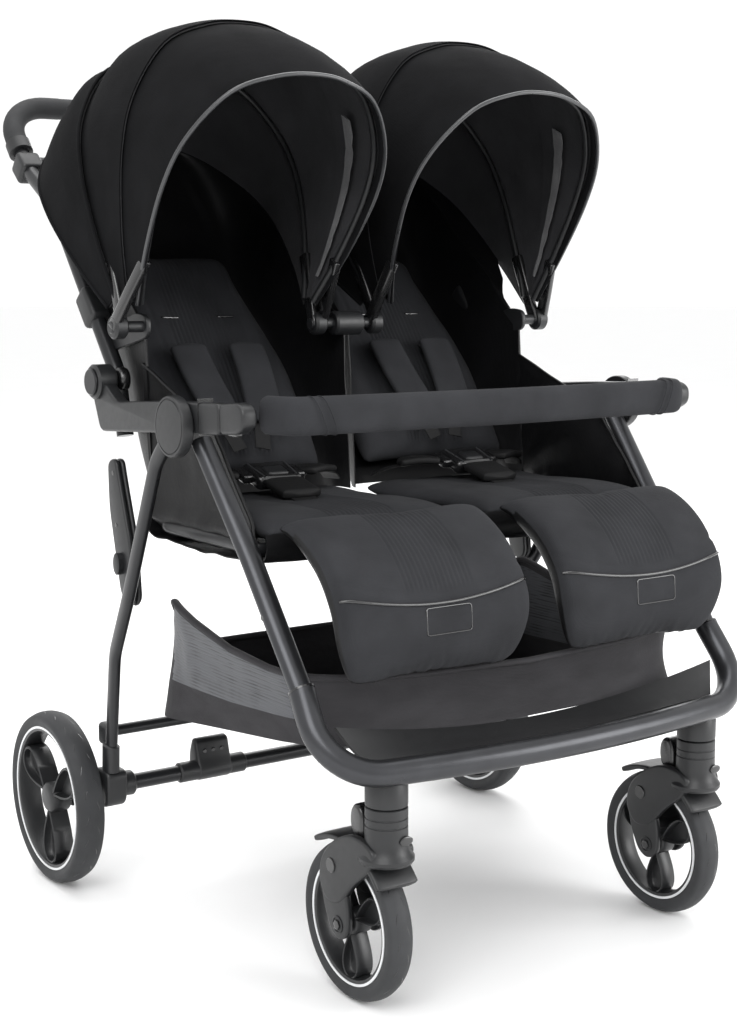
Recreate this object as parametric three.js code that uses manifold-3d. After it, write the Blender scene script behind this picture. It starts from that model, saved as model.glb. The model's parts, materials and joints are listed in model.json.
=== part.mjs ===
// A side-by-side twin pushchair: two seats on one wide folding frame, four wheels on the ground.
// Millimetres. x runs across, y from the toes (-) to the parent (+), z up from the floor.
// Everything comes in pairs about the plane x = 0; side is -1 for the left and +1 for the right of
// someone who looks at the front of the pushchair.
import * as THREE from "three";
import { mergeVertices } from "three/addons/utils/BufferGeometryUtils.js";
import Module from "manifold-3d";

const wasm = await Module();
wasm.setup();

// ---------------------------------------------------------------- driving dimensions
const GAP = 0.3; // air between pieces that touch
const SIDES = [
  ["left", -1],
  ["right", 1],
];
const MIDLENGTH = -20; // y of the middle of the whole length, which becomes the origin

const REAR_WHEEL = { x: 360, y: 170, radius: 116, width: 38, rim: 94, bore: 6 };
const FRONT_WHEEL = { x: 237, y: -373.5, radius: 91.5, width: 32, rim: 70, bore: 5 };
const CASTER = { x: 237, y: -430, radius: 24, top: 266.5, bottom: 191, seam: 241 };
const LEG_PIVOT = { y: -160, z: 641 }; // where the rear legs swing
const FOLD_PIVOT = { y: 62, z: 681 }; // where the handle frame swings
const CANOPY_PIVOT = { y: 3, z: 751 };
const RECLINE_PIVOT = { y: 8, z: 556 };
const CALF_PIVOT = { y: -290, z: 524 };
const SEAT = { x: 157, width: 286, front: -276, rear: -8, bottom: 515, top: 532 };
const ARM = { inner: 320, outer: 340 };
const U_BAR = { corner: 318, y: -435, bow: -491.5, z: 283, radius: 15, bend: 70 };
const HANDLE = { tube: 11, grip: 15, half: 300, y: 430, z: 1053 };
const CANOPY = { x: 171.5, wall: 2.2 };
// Each canopy is three shells that telescope, drawn between two angles above the line that runs
// from the canopy pivot to the rear.
const CANOPY_SECTIONS = {
  rear: { half: 170, top: 404, from: 39, to: 68 },
  middle: { half: 164.5, top: 386, from: 66, to: 96 },
  front: { half: 159, top: 368, from: 94, to: 123 },
};
const BOW_TILT = 119; // the hoop inside the front edge, in degrees above the same line
const SUSPENSION_PIVOT = { y: -362, z: 158 };
const SWIVEL_LOCK = { y: -402, z: 204, half: 13 };
const SEAT_TUBE = { x: 292, y: -262, rear: -8, z: 505, radius: 9 };
const BUMPER = { half: 303, front: -328, z: 661 };
const PUSHER_X = 306; // the handle tubes, before they draw in towards the grip
const KNOB = { y: 28, z: 452 };
const AXLE_TUBE = { y: 82, z: 146, radius: 10.5, half: 316 };
const CROSSBAR = { y: 96, z: 216, radius: 7.5, half: 317 };

// ---------------------------------------------------------------- materials
const finish = (color, roughness, metalness = 0) =>
  new THREE.MeshStandardMaterial({ color, roughness, metalness });
const graphite = finish(0x3a3b3d, 0.45, 0.7);
const blackTube = finish(0x232426, 0.42, 0.5);
const plastic = finish(0x26272a, 0.55);
const rubber = finish(0x1d1e20, 0.8);
const rimPlastic = finish(0x1b1c1e, 0.5);
const canopyCloth = finish(0x151516, 0.9);
const liner = finish(0x36373a, 0.95);
const sideCloth = finish(0x101011, 0.6);
const basketCloth = finish(0x202123, 0.85);
const webbing = finish(0x111112, 0.7);

// ---------------------------------------------------------------- solids and shapes
function solid(geometry) {
  const bare = geometry.index ? geometry.toNonIndexed() : geometry.clone();
  for (const name of Object.keys(bare.attributes)) if (name !== "position") bare.deleteAttribute(name);
  const merged = mergeVertices(bare, 1e-3);
  return new wasm.Manifold(
    new wasm.Mesh({
      numProp: 3,
      vertProperties: new Float32Array(merged.attributes.position.array),
      triVerts: new Uint32Array(merged.index.array),
    }),
  );
}

function surface(made) {
  const mesh = made.getMesh();
  const positions = new Float32Array(mesh.numVert * 3);
  for (let i = 0; i < mesh.numVert; i++) {
    positions.set(mesh.vertProperties.subarray(i * mesh.numProp, i * mesh.numProp + 3), i * 3);
  }
  const geometry = new THREE.BufferGeometry();
  geometry.setAttribute("position", new THREE.BufferAttribute(positions, 3));
  geometry.setIndex(new THREE.BufferAttribute(mesh.triVerts, 1));
  geometry.computeVertexNormals();
  return geometry;
}

const join = (...pieces) => surface(pieces.map(solid).reduce((all, next) => all.add(next)));
const cut = (body, ...tools) =>
  surface(tools.map(solid).reduce((left, tool) => left.subtract(tool), solid(body)));
const keep = (body, tool) => surface(solid(body).intersect(solid(tool)));

// A curve through chosen stations, with each corner rounded by an arc, so a swept tube has rings
// only where it bends.
class Route extends THREE.Curve {
  constructor(corners, bend, arcSteps = 4) {
    super();
    this.stations = [corners[0]];
    for (let i = 1; i < corners.length - 1; i++) {
      this.addCorner(corners[i - 1], corners[i], corners[i + 1], [bend].flat().at(i - 1) ?? bend, arcSteps);
    }
    this.stations.push(corners.at(-1));
    this.steps = this.stations.length - 1;
  }

  addCorner(before, corner, after, radius, arcSteps) {
    const back = before.clone().sub(corner).normalize();
    const ahead = after.clone().sub(corner).normalize();
    const half = back.angleTo(ahead) / 2;
    const centreway = back.clone().add(ahead).normalize();
    const centre = corner.clone().addScaledVector(centreway, radius / Math.sin(half));
    const from = corner.clone().addScaledVector(back, radius / Math.tan(half)).sub(centre);
    const to = corner.clone().addScaledVector(ahead, radius / Math.tan(half)).sub(centre);
    const turn = from.angleTo(to);
    const axis = from.clone().cross(to).normalize();
    for (let i = 0; i <= arcSteps; i++) {
      this.stations.push(from.clone().applyAxisAngle(axis, (turn * i) / arcSteps).add(centre));
    }
  }

  getPoint(t) {
    return this.stations[Math.round(t * this.steps)].clone();
  }

  getPointAt(u) {
    return this.getPoint(u);
  }

  getTangentAt(u) {
    const i = Math.round(u * this.steps);
    const toward = (a, b) => this.stations[b].clone().sub(this.stations[a]).normalize();
    const ahead = i < this.steps ? toward(i, i + 1) : toward(i - 1, i);
    const behind = i > 0 ? toward(i - 1, i) : ahead;
    return ahead.add(behind).normalize();
  }
}

const v3 = (x, y, z) => new THREE.Vector3(x, y, z);

function roundSection(radiusAcross, radiusAlong = radiusAcross, sides = 10) {
  const corners = [];
  for (let i = 0; i < sides; i++) {
    const angle = (2 * Math.PI * (i + 0.5)) / sides;
    corners.push(new THREE.Vector2(radiusAcross * Math.cos(angle), radiusAlong * Math.sin(angle)));
  }
  return new THREE.Shape(corners);
}

function sweep(section, route) {
  return new THREE.ExtrudeGeometry(section, { steps: route.steps, extrudePath: route });
}

// An outline with its corners rounded, as a shape in the plane (u, v).
function outline(corners, radius, pathClass = THREE.Shape) {
  const shape = new pathClass();
  const points = corners.map(([u, v]) => new THREE.Vector2(u, v));
  points.forEach((corner, i) => {
    const back = points.at(i - 1).clone().sub(corner);
    const ahead = points[(i + 1) % points.length].clone().sub(corner);
    const reach = Math.min(radius, back.length() / 2, ahead.length() / 2);
    const start = corner.clone().addScaledVector(back.normalize(), reach);
    const end = corner.clone().addScaledVector(ahead.normalize(), reach);
    if (i === 0) shape.moveTo(start.x, start.y);
    else shape.lineTo(start.x, start.y);
    shape.quadraticCurveTo(corner.x, corner.y, end.x, end.y);
  });
  shape.closePath();
  return shape;
}

// A plate whose outline is drawn in the side view (y, z), standing from x = from to x = to.
const SIDE_VIEW = new THREE.Matrix4().makeBasis(v3(0, 1, 0), v3(0, 0, 1), v3(1, 0, 0));
function sidePlate(shape, from, to, bevel = 0, curveSegments = 2) {
  const [low, high] = [Math.min(from, to), Math.max(from, to)];
  const geometry = new THREE.ExtrudeGeometry(shape, {
    depth: high - low - 2 * bevel,
    curveSegments,
    bevelEnabled: bevel > 0,
    bevelThickness: bevel,
    bevelSize: bevel,
    bevelOffset: -bevel,
    bevelSegments: 1,
  });
  return geometry.translate(0, 0, low + bevel).applyMatrix4(SIDE_VIEW);
}

// A round bar along x, centred at (y, z).
function crossRod(radius, from, to, y, z, sides = 10) {
  const rod = new THREE.CylinderGeometry(radius, radius, Math.abs(to - from), sides);
  return rod.rotateZ(Math.PI / 2).translate((from + to) / 2, y, z);
}

// A body of revolution about a line along x: the profile's points are [radius, x].
function spunAboutX(profile, segments, x, y, z) {
  const points = profile.map(([radius, along]) => new THREE.Vector2(radius, along));
  return new THREE.LatheGeometry(points, segments).rotateZ(-Math.PI / 2).translate(x, y, z);
}

// A body of revolution about a vertical line: the profile's points are [radius, z].
function spunAboutZ(profile, segments, x, y) {
  const points = profile.map(([radius, z]) => new THREE.Vector2(radius, z));
  return new THREE.LatheGeometry(points, segments).rotateX(Math.PI / 2).translate(x, y, 0);
}

const model = new THREE.Group();
const carriage = new THREE.Group();
carriage.position.y = -MIDLENGTH;
model.add(carriage);

function add(name, geometry, material) {
  const mesh = new THREE.Mesh(geometry, material);
  mesh.name = name;
  carriage.add(mesh);
}

// ---------------------------------------------------------------- wheels
const WHEEL_SEGMENTS = 24;

function tyre({ x, y, radius, width, rim }, side) {
  const half = width / 2;
  const profile = [
    [rim, -half * 0.75],
    [radius - 9, -half],
    [radius - 2, -half * 0.6],
    [radius, 0],
    [radius - 2, half * 0.6],
    [radius - 9, half],
    [rim, half * 0.75],
    [rim, -half * 0.75],
  ];
  return spunAboutX(profile, WHEEL_SEGMENTS, side * x, y, radius);
}

// The rim is a ring with three looped spokes about a hub with a bore.
function rim({ x, y, radius, width, rim: outer, bore }, side) {
  const edge = outer - GAP;
  const rimWall = 7;
  const face = new THREE.Shape().absarc(0, 0, edge, 0, 2 * Math.PI);
  const hole = new THREE.Path().absarc(0, 0, edge - rimWall, 0, 2 * Math.PI, true);
  face.holes.push(hole);
  const ring = new THREE.ExtrudeGeometry(face, {
    depth: width * 0.66,
    curveSegments: 12,
    bevelEnabled: false,
  });
  const pieces = [ring.translate(0, 0, -width * 0.33)];
  const reach = edge - rimWall / 2;
  const petalHalf = edge * 0.26;
  for (let i = 0; i < 3; i++) {
    const petal = new THREE.Shape();
    petal.moveTo(edge * 0.1, -4);
    petal.quadraticCurveTo(reach * 0.55, -petalHalf * 1.7, reach, -petalHalf * 0.7);
    petal.lineTo(reach, petalHalf * 0.7);
    petal.quadraticCurveTo(reach * 0.55, petalHalf * 1.7, edge * 0.1, 4);
    const window = new THREE.Path();
    window.moveTo(edge * 0.3, 0);
    window.quadraticCurveTo(reach * 0.6, petalHalf * 1.15, reach * 0.93, petalHalf * 0.4);
    window.lineTo(reach * 0.93, -petalHalf * 0.4);
    window.quadraticCurveTo(reach * 0.6, -petalHalf * 1.15, edge * 0.3, 0);
    petal.holes.push(window);
    const spoke = new THREE.ExtrudeGeometry(petal, {
      depth: width * 0.5,
      curveSegments: 3,
      bevelEnabled: false,
    });
    pieces.push(spoke.translate(0, 0, -width * 0.25).rotateZ(Math.PI / 2 + (i * 2 * Math.PI) / 3));
  }
  const hub = new THREE.CylinderGeometry(edge * 0.2, edge * 0.2, width * 0.74, 12).rotateX(Math.PI / 2);
  const drill = new THREE.CylinderGeometry(bore, bore, width + 2, 12).rotateX(Math.PI / 2);
  const wheel = cut(join(...pieces, hub), drill);
  return wheel.rotateY(Math.PI / 2).translate(side * x, y, radius);
}

// ---------------------------------------------------------------- front frame
function frontLeg(side) {
  const route = new Route(
    [v3(side * 321, -177, 624), v3(side * 315, -277, 499), v3(side * 309.1, -370.4, 368.2)],
    300,
    3,
  );
  return sweep(roundSection(13.5, 10.5), route);
}

// The lower frame bar: down from each front leg, round a wide corner and across in front of the feet.
function uBar() {
  const { corner, y, bow, z, bend } = U_BAR;
  const legTop = (side) => v3(side * 309, -372, 366);
  const route = new Route(
    [legTop(-1), v3(-corner, y, z), v3(0, bow, z), v3(corner, y, z), legTop(1)],
    [bend, 1300, bend],
    5,
  );
  return sweep(roundSection(U_BAR.radius, U_BAR.radius, 12), route);
}

// The dished plate behind the lower bar, where a child's feet rest.
function footTray() {
  const front = [];
  const rear = [];
  const steps = 8;
  for (let i = 0; i <= steps; i++) {
    const across = -1 + (2 * i) / steps;
    const dish = 1 - across * across;
    front.push([across * 262, -427 - 27 * dish, 293]);
    rear.push([across * 286, -402 + 10 * dish, 330 - 34 * dish]);
  }
  const thickness = 5;
  const corners = [...front, ...rear].flatMap(([x, y, z]) => [x, y, z, x, y + 3, z - thickness]);
  const geometry = new THREE.BufferGeometry();
  geometry.setAttribute("position", new THREE.Float32BufferAttribute(corners, 3));
  const row = 2 * (steps + 1);
  const faces = [];
  const quad = (a, b, c, d) => faces.push(a, b, c, a, c, d);
  for (let i = 0; i < steps; i++) {
    const [f, r] = [2 * i, row + 2 * i];
    quad(f, f + 2, r + 2, r);
    quad(f + 1, r + 1, r + 3, f + 3);
    quad(f + 1, f + 3, f + 2, f);
    quad(r, r + 2, r + 3, r + 1);
  }
  quad(0, row, row + 1, 1);
  const last = 2 * steps;
  quad(last + 1, row + last + 1, row + last, last);
  geometry.setIndex(faces);
  return geometry;
}

// Each arm runs from the fold pivot forward to the bumper bar, with a pocket for its plug.
function arm(side) {
  const beam = outline(
    [
      [8, 659],
      [-216, 673],
      [-250, 673],
      [-250, 637],
      [54, 619],
      [74, 668],
      [50, 684],
    ],
    10,
  );
  const plate = sidePlate(beam, side * ARM.inner, side * ARM.outer, 2);
  const boss = crossRod(21, side * ARM.inner, side * ARM.outer, FOLD_PIVOT.y, FOLD_PIVOT.z, 16);
  const pocket = new THREE.BoxGeometry(10, 24, 20).translate(side * 330, -242, 655);
  const foldBore = crossRod(8, side * 312, side * 350, FOLD_PIVOT.y, FOLD_PIVOT.z);
  const legBore = crossRod(8, side * 312, side * 350, LEG_PIVOT.y, LEG_PIVOT.z);
  return cut(join(plate, boss), pocket, foldBore, legBore);
}

// The fixed upper part of the caster barrel, clamped under the lower bar.
function casterSocket(side) {
  const { radius, top, seam } = CASTER;
  const profile = [
    [0, seam],
    [radius, seam],
    [radius, top],
    [0, top],
  ];
  const stem = spunAboutZ(profile, 14, side * CASTER.x, CASTER.y);
  const pin = new THREE.CylinderGeometry(7, 7, 44, 12).rotateX(Math.PI / 2);
  return join(stem, pin.translate(side * CASTER.x, CASTER.y, seam - 18));
}

// ---------------------------------------------------------------- casters
function casterFork(side) {
  const { x, y, radius, bottom, seam } = CASTER;
  const top = seam - GAP;
  const barrel = spunAboutZ(
    [
      [0, bottom],
      [radius, bottom],
      [radius, top],
      [0, top],
    ],
    14,
    side * x,
    y,
  );
  const collar = spunAboutZ(
    [
      [0, bottom - 9],
      [radius + 5, bottom - 9],
      [radius + 7, bottom - 2],
      [radius, bottom + 8],
      [0, bottom + 8],
    ],
    14,
    side * x,
    y,
  );
  const cheek = outline(
    [
      [-436, 190],
      [-400, 194],
      [-352, 176],
      [-334, 142],
      [-352, 118],
      [-388, 128],
      [-434, 172],
    ],
    14,
  );
  const cheeks = [-1, 1].map((at) => sidePlate(cheek, side * x + at * 17.5, side * x + at * 24, 0, 2));
  const bridge = new THREE.BoxGeometry(48, 30, 12).translate(side * x, -412, 192);
  const bore = new THREE.CylinderGeometry(7.6, 7.6, 46, 12).rotateX(Math.PI / 2);
  const pivot = crossRod(5.6, side * x - 26, side * x + 26, SUSPENSION_PIVOT.y, SUSPENSION_PIVOT.z);
  return cut(join(barrel, collar, ...cheeks, bridge), bore.translate(side * x, y, seam - 17), pivot);
}

// The sprung arm below the fork holds the wheel's axle between two cheeks.
function casterArm(side) {
  const { x, y, radius } = FRONT_WHEEL;
  const cheek = outline(
    [
      [-366, 170],
      [-350, 160],
      [-352, 118],
      [-359, 80],
      [-386, 78],
      [-392, 108],
      [-378, 140],
    ],
    12,
  );
  const cheeks = [-1, 1].map((at) => sidePlate(cheek, side * x + at * 24.4, side * x + at * 29.4, 0, 2));
  const axle = crossRod(FRONT_WHEEL.bore - 0.4, side * x - 27, side * x + 27, y, radius);
  const pins = [-1, 1].map((at) =>
    crossRod(5, side * x + at * 17.6, side * x + at * 27, SUSPENSION_PIVOT.y, SUSPENSION_PIVOT.z),
  );
  return join(...cheeks, axle, ...pins);
}

// A foot lever behind the barrel that locks the swivel.
function swivelLock(side) {
  const { half } = SWIVEL_LOCK;
  const route = new Route(
    [
      v3(side * CASTER.x - half, SWIVEL_LOCK.y, SWIVEL_LOCK.z + 4),
      v3(side * CASTER.x - half, -386, 236),
      v3(side * CASTER.x + half, -386, 236),
      v3(side * CASTER.x + half, SWIVEL_LOCK.y, SWIVEL_LOCK.z + 4),
    ],
    8,
    2,
  );
  const loop = sweep(roundSection(3.6, 3.6, 8), route);
  const hinge = crossRod(3.8, side * CASTER.x - 18, side * CASTER.x + 18, SWIVEL_LOCK.y, SWIVEL_LOCK.z, 8);
  return join(loop, hinge);
}

// ---------------------------------------------------------------- seats
// The tube under both seats: across between the front legs, back along each side, across at the rear.
function seatFrame() {
  const { x, y, rear, z, radius } = SEAT_TUBE;
  const route = new Route(
    [v3(-x, y, z), v3(-x, rear, z), v3(x, rear, z), v3(x, y, z)],
    40,
    3,
  );
  const front = crossRod(radius, -x - 9, x + 9, y, z, 10);
  return join(sweep(roundSection(radius, radius, 10), route), front);
}

// A cushion with pulled-in corners, built from a rounded outline with a deep bevel.
function cushion(shape, depth, bevel) {
  return new THREE.ExtrudeGeometry(shape, {
    depth: depth - 2 * bevel,
    curveSegments: 2,
    bevelEnabled: true,
    bevelThickness: bevel,
    bevelSize: bevel,
    bevelOffset: -bevel,
    bevelSegments: 2,
  }).translate(0, 0, bevel);
}

function seatPad(side) {
  const half = SEAT.width / 2;
  const shape = outline(
    [
      [-half, SEAT.front],
      [half, SEAT.front],
      [half, SEAT.rear],
      [-half, SEAT.rear],
    ],
    24,
  );
  return cushion(shape, SEAT.top - SEAT.bottom, 6).translate(side * SEAT.x, 0, SEAT.bottom);
}

// The cloth that closes each seat's outer side, from the seat up to the canopy.
function sidePanel(side) {
  const shape = outline(
    [
      [-236, 534],
      [-14, 534],
      [-18, 560],
      [-26, 640],
      [-30, 716],
      [-64, 690],
      [-236, 560],
    ],
    14,
  );
  return sidePlate(shape, side * 298, side * 301, 0, 2);
}

function buckle(side) {
  const shape = outline(
    [
      [-30, -26],
      [30, -26],
      [24, 26],
      [-24, 26],
    ],
    12,
  );
  const body = cushion(shape, 18, 4);
  const strap = new THREE.BoxGeometry(34, 40, 4).translate(0, -38, 3);
  return join(body, strap).rotateX(0.32).translate(side * SEAT.x, -62, 553);
}

// ---------------------------------------------------------------- basket
// An open cloth bin hung between the front bar, the front legs and the rear crossbar.
function basket() {
  const wall = 4;
  const half = 292;
  const side = (inset) =>
    outline(
      [
        [-380 + inset, 290 + inset],
        [68 - inset, 236 + inset * 1.2],
        [2 - inset, inset ? 520 : 420],
        [-350 + inset, inset ? 520 : 368],
      ],
      6,
    );
  const outer = sidePlate(side(0), -half, half, 0, 1);
  const inner = sidePlate(side(wall), -half + wall, half - wall, 0, 1);
  const rearMouth = new THREE.BoxGeometry(2 * half - 60, 120, 200).translate(0, 60, 395);
  return cut(outer, inner, rearMouth);
}

// ---------------------------------------------------------------- bumper bar
function bumperBar() {
  const { half, front, z } = BUMPER;
  const route = new Route(
    [
      v3(-half + 4, -288, z),
      v3(-half + 16, front, z),
      v3(0, front - 16, z),
      v3(half - 16, front, z),
      v3(half - 4, -288, z),
    ],
    [24, 1200, 24],
    4,
  );
  return sweep(roundSection(22, 13, 12), route);
}

// The plastic ends carry the bar into the pockets of the arms.
function bumperEnd(side) {
  const shell = [
    [-251, 637.5],
    [-251, 672.5],
    [-288, 676],
    [-300, 672],
    [-300, 646],
    [-288, 641],
  ];
  const plate = sidePlate(outline(shell, 6), side * 320, side * 339, 2, 2);
  const plug = new THREE.BoxGeometry(8, 24, 17).translate(side * 330, -245, 655);
  const turn = new THREE.BoxGeometry(38, 22, 26).translate(side * 312, -284, 660);
  const bar = new THREE.BoxGeometry(40, 80, 60).translate(side * 293, -296, 660);
  const button = new THREE.BoxGeometry(9, 22, 14).translate(side * 330, -270, 641);
  return cut(join(plate, plug, turn), bar, button);
}

function bumperButton(side) {
  return new THREE.BoxGeometry(8, 20, 8).translate(side * 330, -270, 642);
}

// ---------------------------------------------------------------- handle frame
function handleTube() {
  const { tube, half, y, z } = HANDLE;
  const leg = (side) => [
    v3(side * (PUSHER_X + 1), 48, 612),
    v3(side * (PUSHER_X + 1), 66, 690),
    v3(side * PUSHER_X, 246, 908),
    v3(side * half, 352, 962),
    v3(side * half, y, z),
  ];
  const corners = [...leg(-1), ...leg(1).reverse()];
  const route = new Route(corners, [60, 120, 60, 44, 44, 60, 120, 60], 2);
  const frame = sweep(roundSection(tube, tube, 8), route);
  const crossbar = crossRod(8, -half, half, 358, 970, 10);
  const canopyBracket = outline(
    [
      [-10, 738],
      [-10, 764],
      [20, 766],
      [104, 744],
      [92, 716],
    ],
    10,
  );
  const brackets = SIDES.flatMap(([, side]) => [
    sidePlate(canopyBracket, side * 297.4, side * 303, 0, 2),
    crossRod(7, side * 284, side * 300, CANOPY_PIVOT.y, CANOPY_PIVOT.z),
    crossRod(7.4, side * 300, side * 348, FOLD_PIVOT.y, FOLD_PIVOT.z),
    crossRod(18, side * (ARM.outer + 0.6), side * 348, FOLD_PIVOT.y, FOLD_PIVOT.z, 14),
  ]);
  return join(frame, crossbar, ...brackets);
}

// A foam sleeve round the top of the handle.
function handleGrip() {
  const { half, y, z, grip } = HANDLE;
  const route = new Route([v3(-half + 52, y, z), v3(half - 52, y, z)], 1, 1);
  const sleeve = sweep(roundSection(grip, grip, 14), route);
  return cut(sleeve, crossRod(11.8, -half, half, y, z, 14));
}

// The strut down the middle carries the inner canopy pivots.
function centreStrut() {
  const route = new Route([v3(0, 350, 961), v3(0, 60, 768), v3(0, 3, 751)], 60, 3);
  const strut = sweep(roundSection(8, 8, 8), route);
  const pin = crossRod(7, -57, 57, CANOPY_PIVOT.y, CANOPY_PIVOT.z);
  const boss = crossRod(16, -22, 22, CANOPY_PIVOT.y, CANOPY_PIVOT.z, 12);
  return cut(join(strut, pin, boss), crossRod(8.5, -20, 20, 358, 970, 10));
}

// ---------------------------------------------------------------- canopies
// The half outline of a canopy, as [half width, height] above its pivot line.
const ARCH = [
  [128, 34],
  [154, 110],
  [171, 200],
  [158, 268],
  [112, 330],
  [52, 355],
  [0, 361],
];
const ARCH_TOP = 361;
const ARCH_HALF = 171;

function archProfile(half, top, inset) {
  const across = (half - inset) / ARCH_HALF;
  const up = (top - 2 * inset) / ARCH_TOP;
  const one = ARCH.map(([u, v]) => [v * up, -u * across]);
  const other = ARCH.slice(0, -1).map(([u, v]) => [v * up, u * across]);
  return [...one, ...other.reverse()];
}

// One telescoping section of a canopy, between two angles above the line that points to the rear.
function canopySection(side, half, top, fromDeg, toDeg) {
  const outerRing = archProfile(half, top, 0);
  const innerRing = archProfile(half, top, CANOPY.wall).reverse();
  const ring = [...outerRing, ...innerRing, outerRing[0]];
  const turned = spunAboutX(ring, 36, side * CANOPY.x, CANOPY_PIVOT.y, CANOPY_PIVOT.z);
  const corner = (deg) => [
    CANOPY_PIVOT.y + 2 * top * Math.cos((deg * Math.PI) / 180),
    CANOPY_PIVOT.z + 2 * top * Math.sin((deg * Math.PI) / 180),
  ];
  const wedgeCorners = [[CANOPY_PIVOT.y, CANOPY_PIVOT.z], corner(fromDeg), corner(toDeg)];
  const wedge = new THREE.Shape(wedgeCorners.map(([u, v]) => new THREE.Vector2(u, v)));
  return keep(turned, sidePlate(wedge, side * CANOPY.x - 200, side * CANOPY.x + 200));
}

// The hoop inside the front edge, hinged on a pin at each end.
function canopyBow(side) {
  const tilt = (BOW_TILT * Math.PI) / 180;
  const hoop = [
    [128, 13],
    [110, 38],
    [134, 112],
    [159, 200],
    [150, 262],
    [106, 322],
    [0, 351],
  ].map(([u, v]) => [u * 0.92, v * 0.985]);
  const points = [...hoop.map(([u, v]) => [-u, v]), ...hoop.slice(0, -1).reverse()];
  const at = ([u, v]) =>
    v3(side * CANOPY.x + u, CANOPY_PIVOT.y + v * Math.cos(tilt), CANOPY_PIVOT.z + v * Math.sin(tilt));
  const curve = new THREE.CatmullRomCurve3(points.map(at));
  const rod = new THREE.ExtrudeGeometry(roundSection(3.5, 3.5, 6), { steps: 14, extrudePath: curve });
  const eye = (u) => {
    const x = side * CANOPY.x + u;
    return cut(
      crossRod(15, x - 4.5, x + 4.5, CANOPY_PIVOT.y, CANOPY_PIVOT.z, 12),
      crossRod(7.5, x - 6, x + 6, CANOPY_PIVOT.y, CANOPY_PIVOT.z),
    );
  };
  return join(rod, eye(-120), eye(120));
}

// ---------------------------------------------------------------- backrests
function backrest(side) {
  const bottomHalf = 124;
  const topHalf = 92;
  const length = 350;
  const shape = outline(
    [
      [-bottomHalf, 0],
      [bottomHalf, 0],
      [bottomHalf, 120],
      [topHalf, length],
      [-topHalf, length],
      [-bottomHalf, 120],
    ],
    30,
  );
  const leanFromFlat = (54 * Math.PI) / 180;
  return cushion(shape, 26, 8)
    .rotateX(leanFromFlat)
    .translate(side * SEAT.x, RECLINE_PIVOT.y + 14, RECLINE_PIVOT.z - 8);
}

// ---------------------------------------------------------------- calf rests
// A curved pad: it carries the seat forward, turns over a rounded knee edge and hangs down.
function calfRest(side) {
  const half = 142;
  const profile = outline(
    [
      [-287, 534],
      [-312, 542],
      [-384, 508],
      [-424, 452],
      [-420, 396],
      [-404, 364],
      [-380, 366],
      [-386, 412],
      [-378, 452],
      [-352, 482],
      [-300, 512],
      [-287, 516],
    ],
    16,
  );
  const front = outline(
    [
      [-half, 550],
      [half, 550],
      [half, 412],
      [half - 40, 360],
      [40 - half, 360],
      [-half, 412],
    ],
    24,
  );
  const depth = 200;
  const across = sidePlate(profile, -half, half, 0, 3);
  const mould = new THREE.ExtrudeGeometry(front, { depth, curveSegments: 3, bevelEnabled: false });
  mould.rotateX(Math.PI / 2).translate(0, CALF_PIVOT.y + 40, 0);
  return keep(across, mould).translate(side * SEAT.x, 0, 0);
}

// ---------------------------------------------------------------- rear frame
// Each rear leg hangs from the outside of its arm, under a round cap.
function rearLeg(side) {
  const route = new Route(
    [
      v3(side * 347, -160, 641),
      v3(side * 344, -107, 593),
      v3(side * 334, -4, 410),
      v3(side * 326, 52, 330),
      v3(side * 325, 74, 178),
    ],
    [60, 200, 60],
    3,
  );
  const tube = sweep(roundSection(6.5, 10.5), route);
  const cap = crossRod(35, side * (ARM.outer + 0.6), side * 354, LEG_PIVOT.y, LEG_PIVOT.z, 18);
  const pin = crossRod(7.4, side * 322, side * 350, LEG_PIVOT.y, LEG_PIVOT.z);
  return join(tube, cap, pin);
}

// The axle tube with a moulded block and a stub axle at each end.
function rearAxle() {
  const { y, z, radius, half } = AXLE_TUBE;
  const tube = crossRod(radius, -half, half, y, z, 12);
  const blocks = SIDES.flatMap(([, side]) => {
    const block = outline(
      [
        [60, 168],
        [96, 168],
        [188, 128],
        [184, 102],
        [66, 126],
      ],
      10,
    );
    return [
      sidePlate(block, side * 306, side * 336),
      crossRod(REAR_WHEEL.bore - 0.4, side * 330, side * 374, REAR_WHEEL.y, REAR_WHEEL.radius),
    ];
  });
  return join(tube, ...blocks);
}

const crossbar = () => crossRod(CROSSBAR.radius, -CROSSBAR.half, CROSSBAR.half, CROSSBAR.y, CROSSBAR.z, 10);

// The two-part casing behind each rear leg that locks the frame open.
function lockHousing(side) {
  const shape = outline(
    [
      [40, 586],
      [62, 580],
      [58, 520],
      [30, 412],
      [12, 396],
      [-2, 408],
      [6, 480],
      [34, 560],
    ],
    10,
  );
  const casing = sidePlate(shape, side * 312, side * 326, 3, 2);
  return cut(casing, crossRod(7, side * 318, side * 340, KNOB.y, KNOB.z, 12));
}

function lockKnob(side) {
  return join(
    crossRod(6.4, side * 319, side * 331, KNOB.y, KNOB.z, 12),
    crossRod(9, side * 329, side * 334, KNOB.y, KNOB.z, 12),
  );
}

// ---------------------------------------------------------------- brake
// An arched pedal clipped round the axle tube.
function brakePedal() {
  const { y, z, radius } = AXLE_TUBE;
  const shape = outline(
    [
      [y - 18, z - 6],
      [y - 2, z - 17],
      [y + 17, z - 4],
      [y + 18, z + 26],
      [y + 8, z + 42],
      [y - 2, z + 38],
      [y - 8, z + 14],
    ],
    8,
  );
  const pedal = sidePlate(shape, -196, -144, 3, 2);
  return cut(pedal, crossRod(radius + 0.5, -200, -140, y, z, 12));
}

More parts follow.
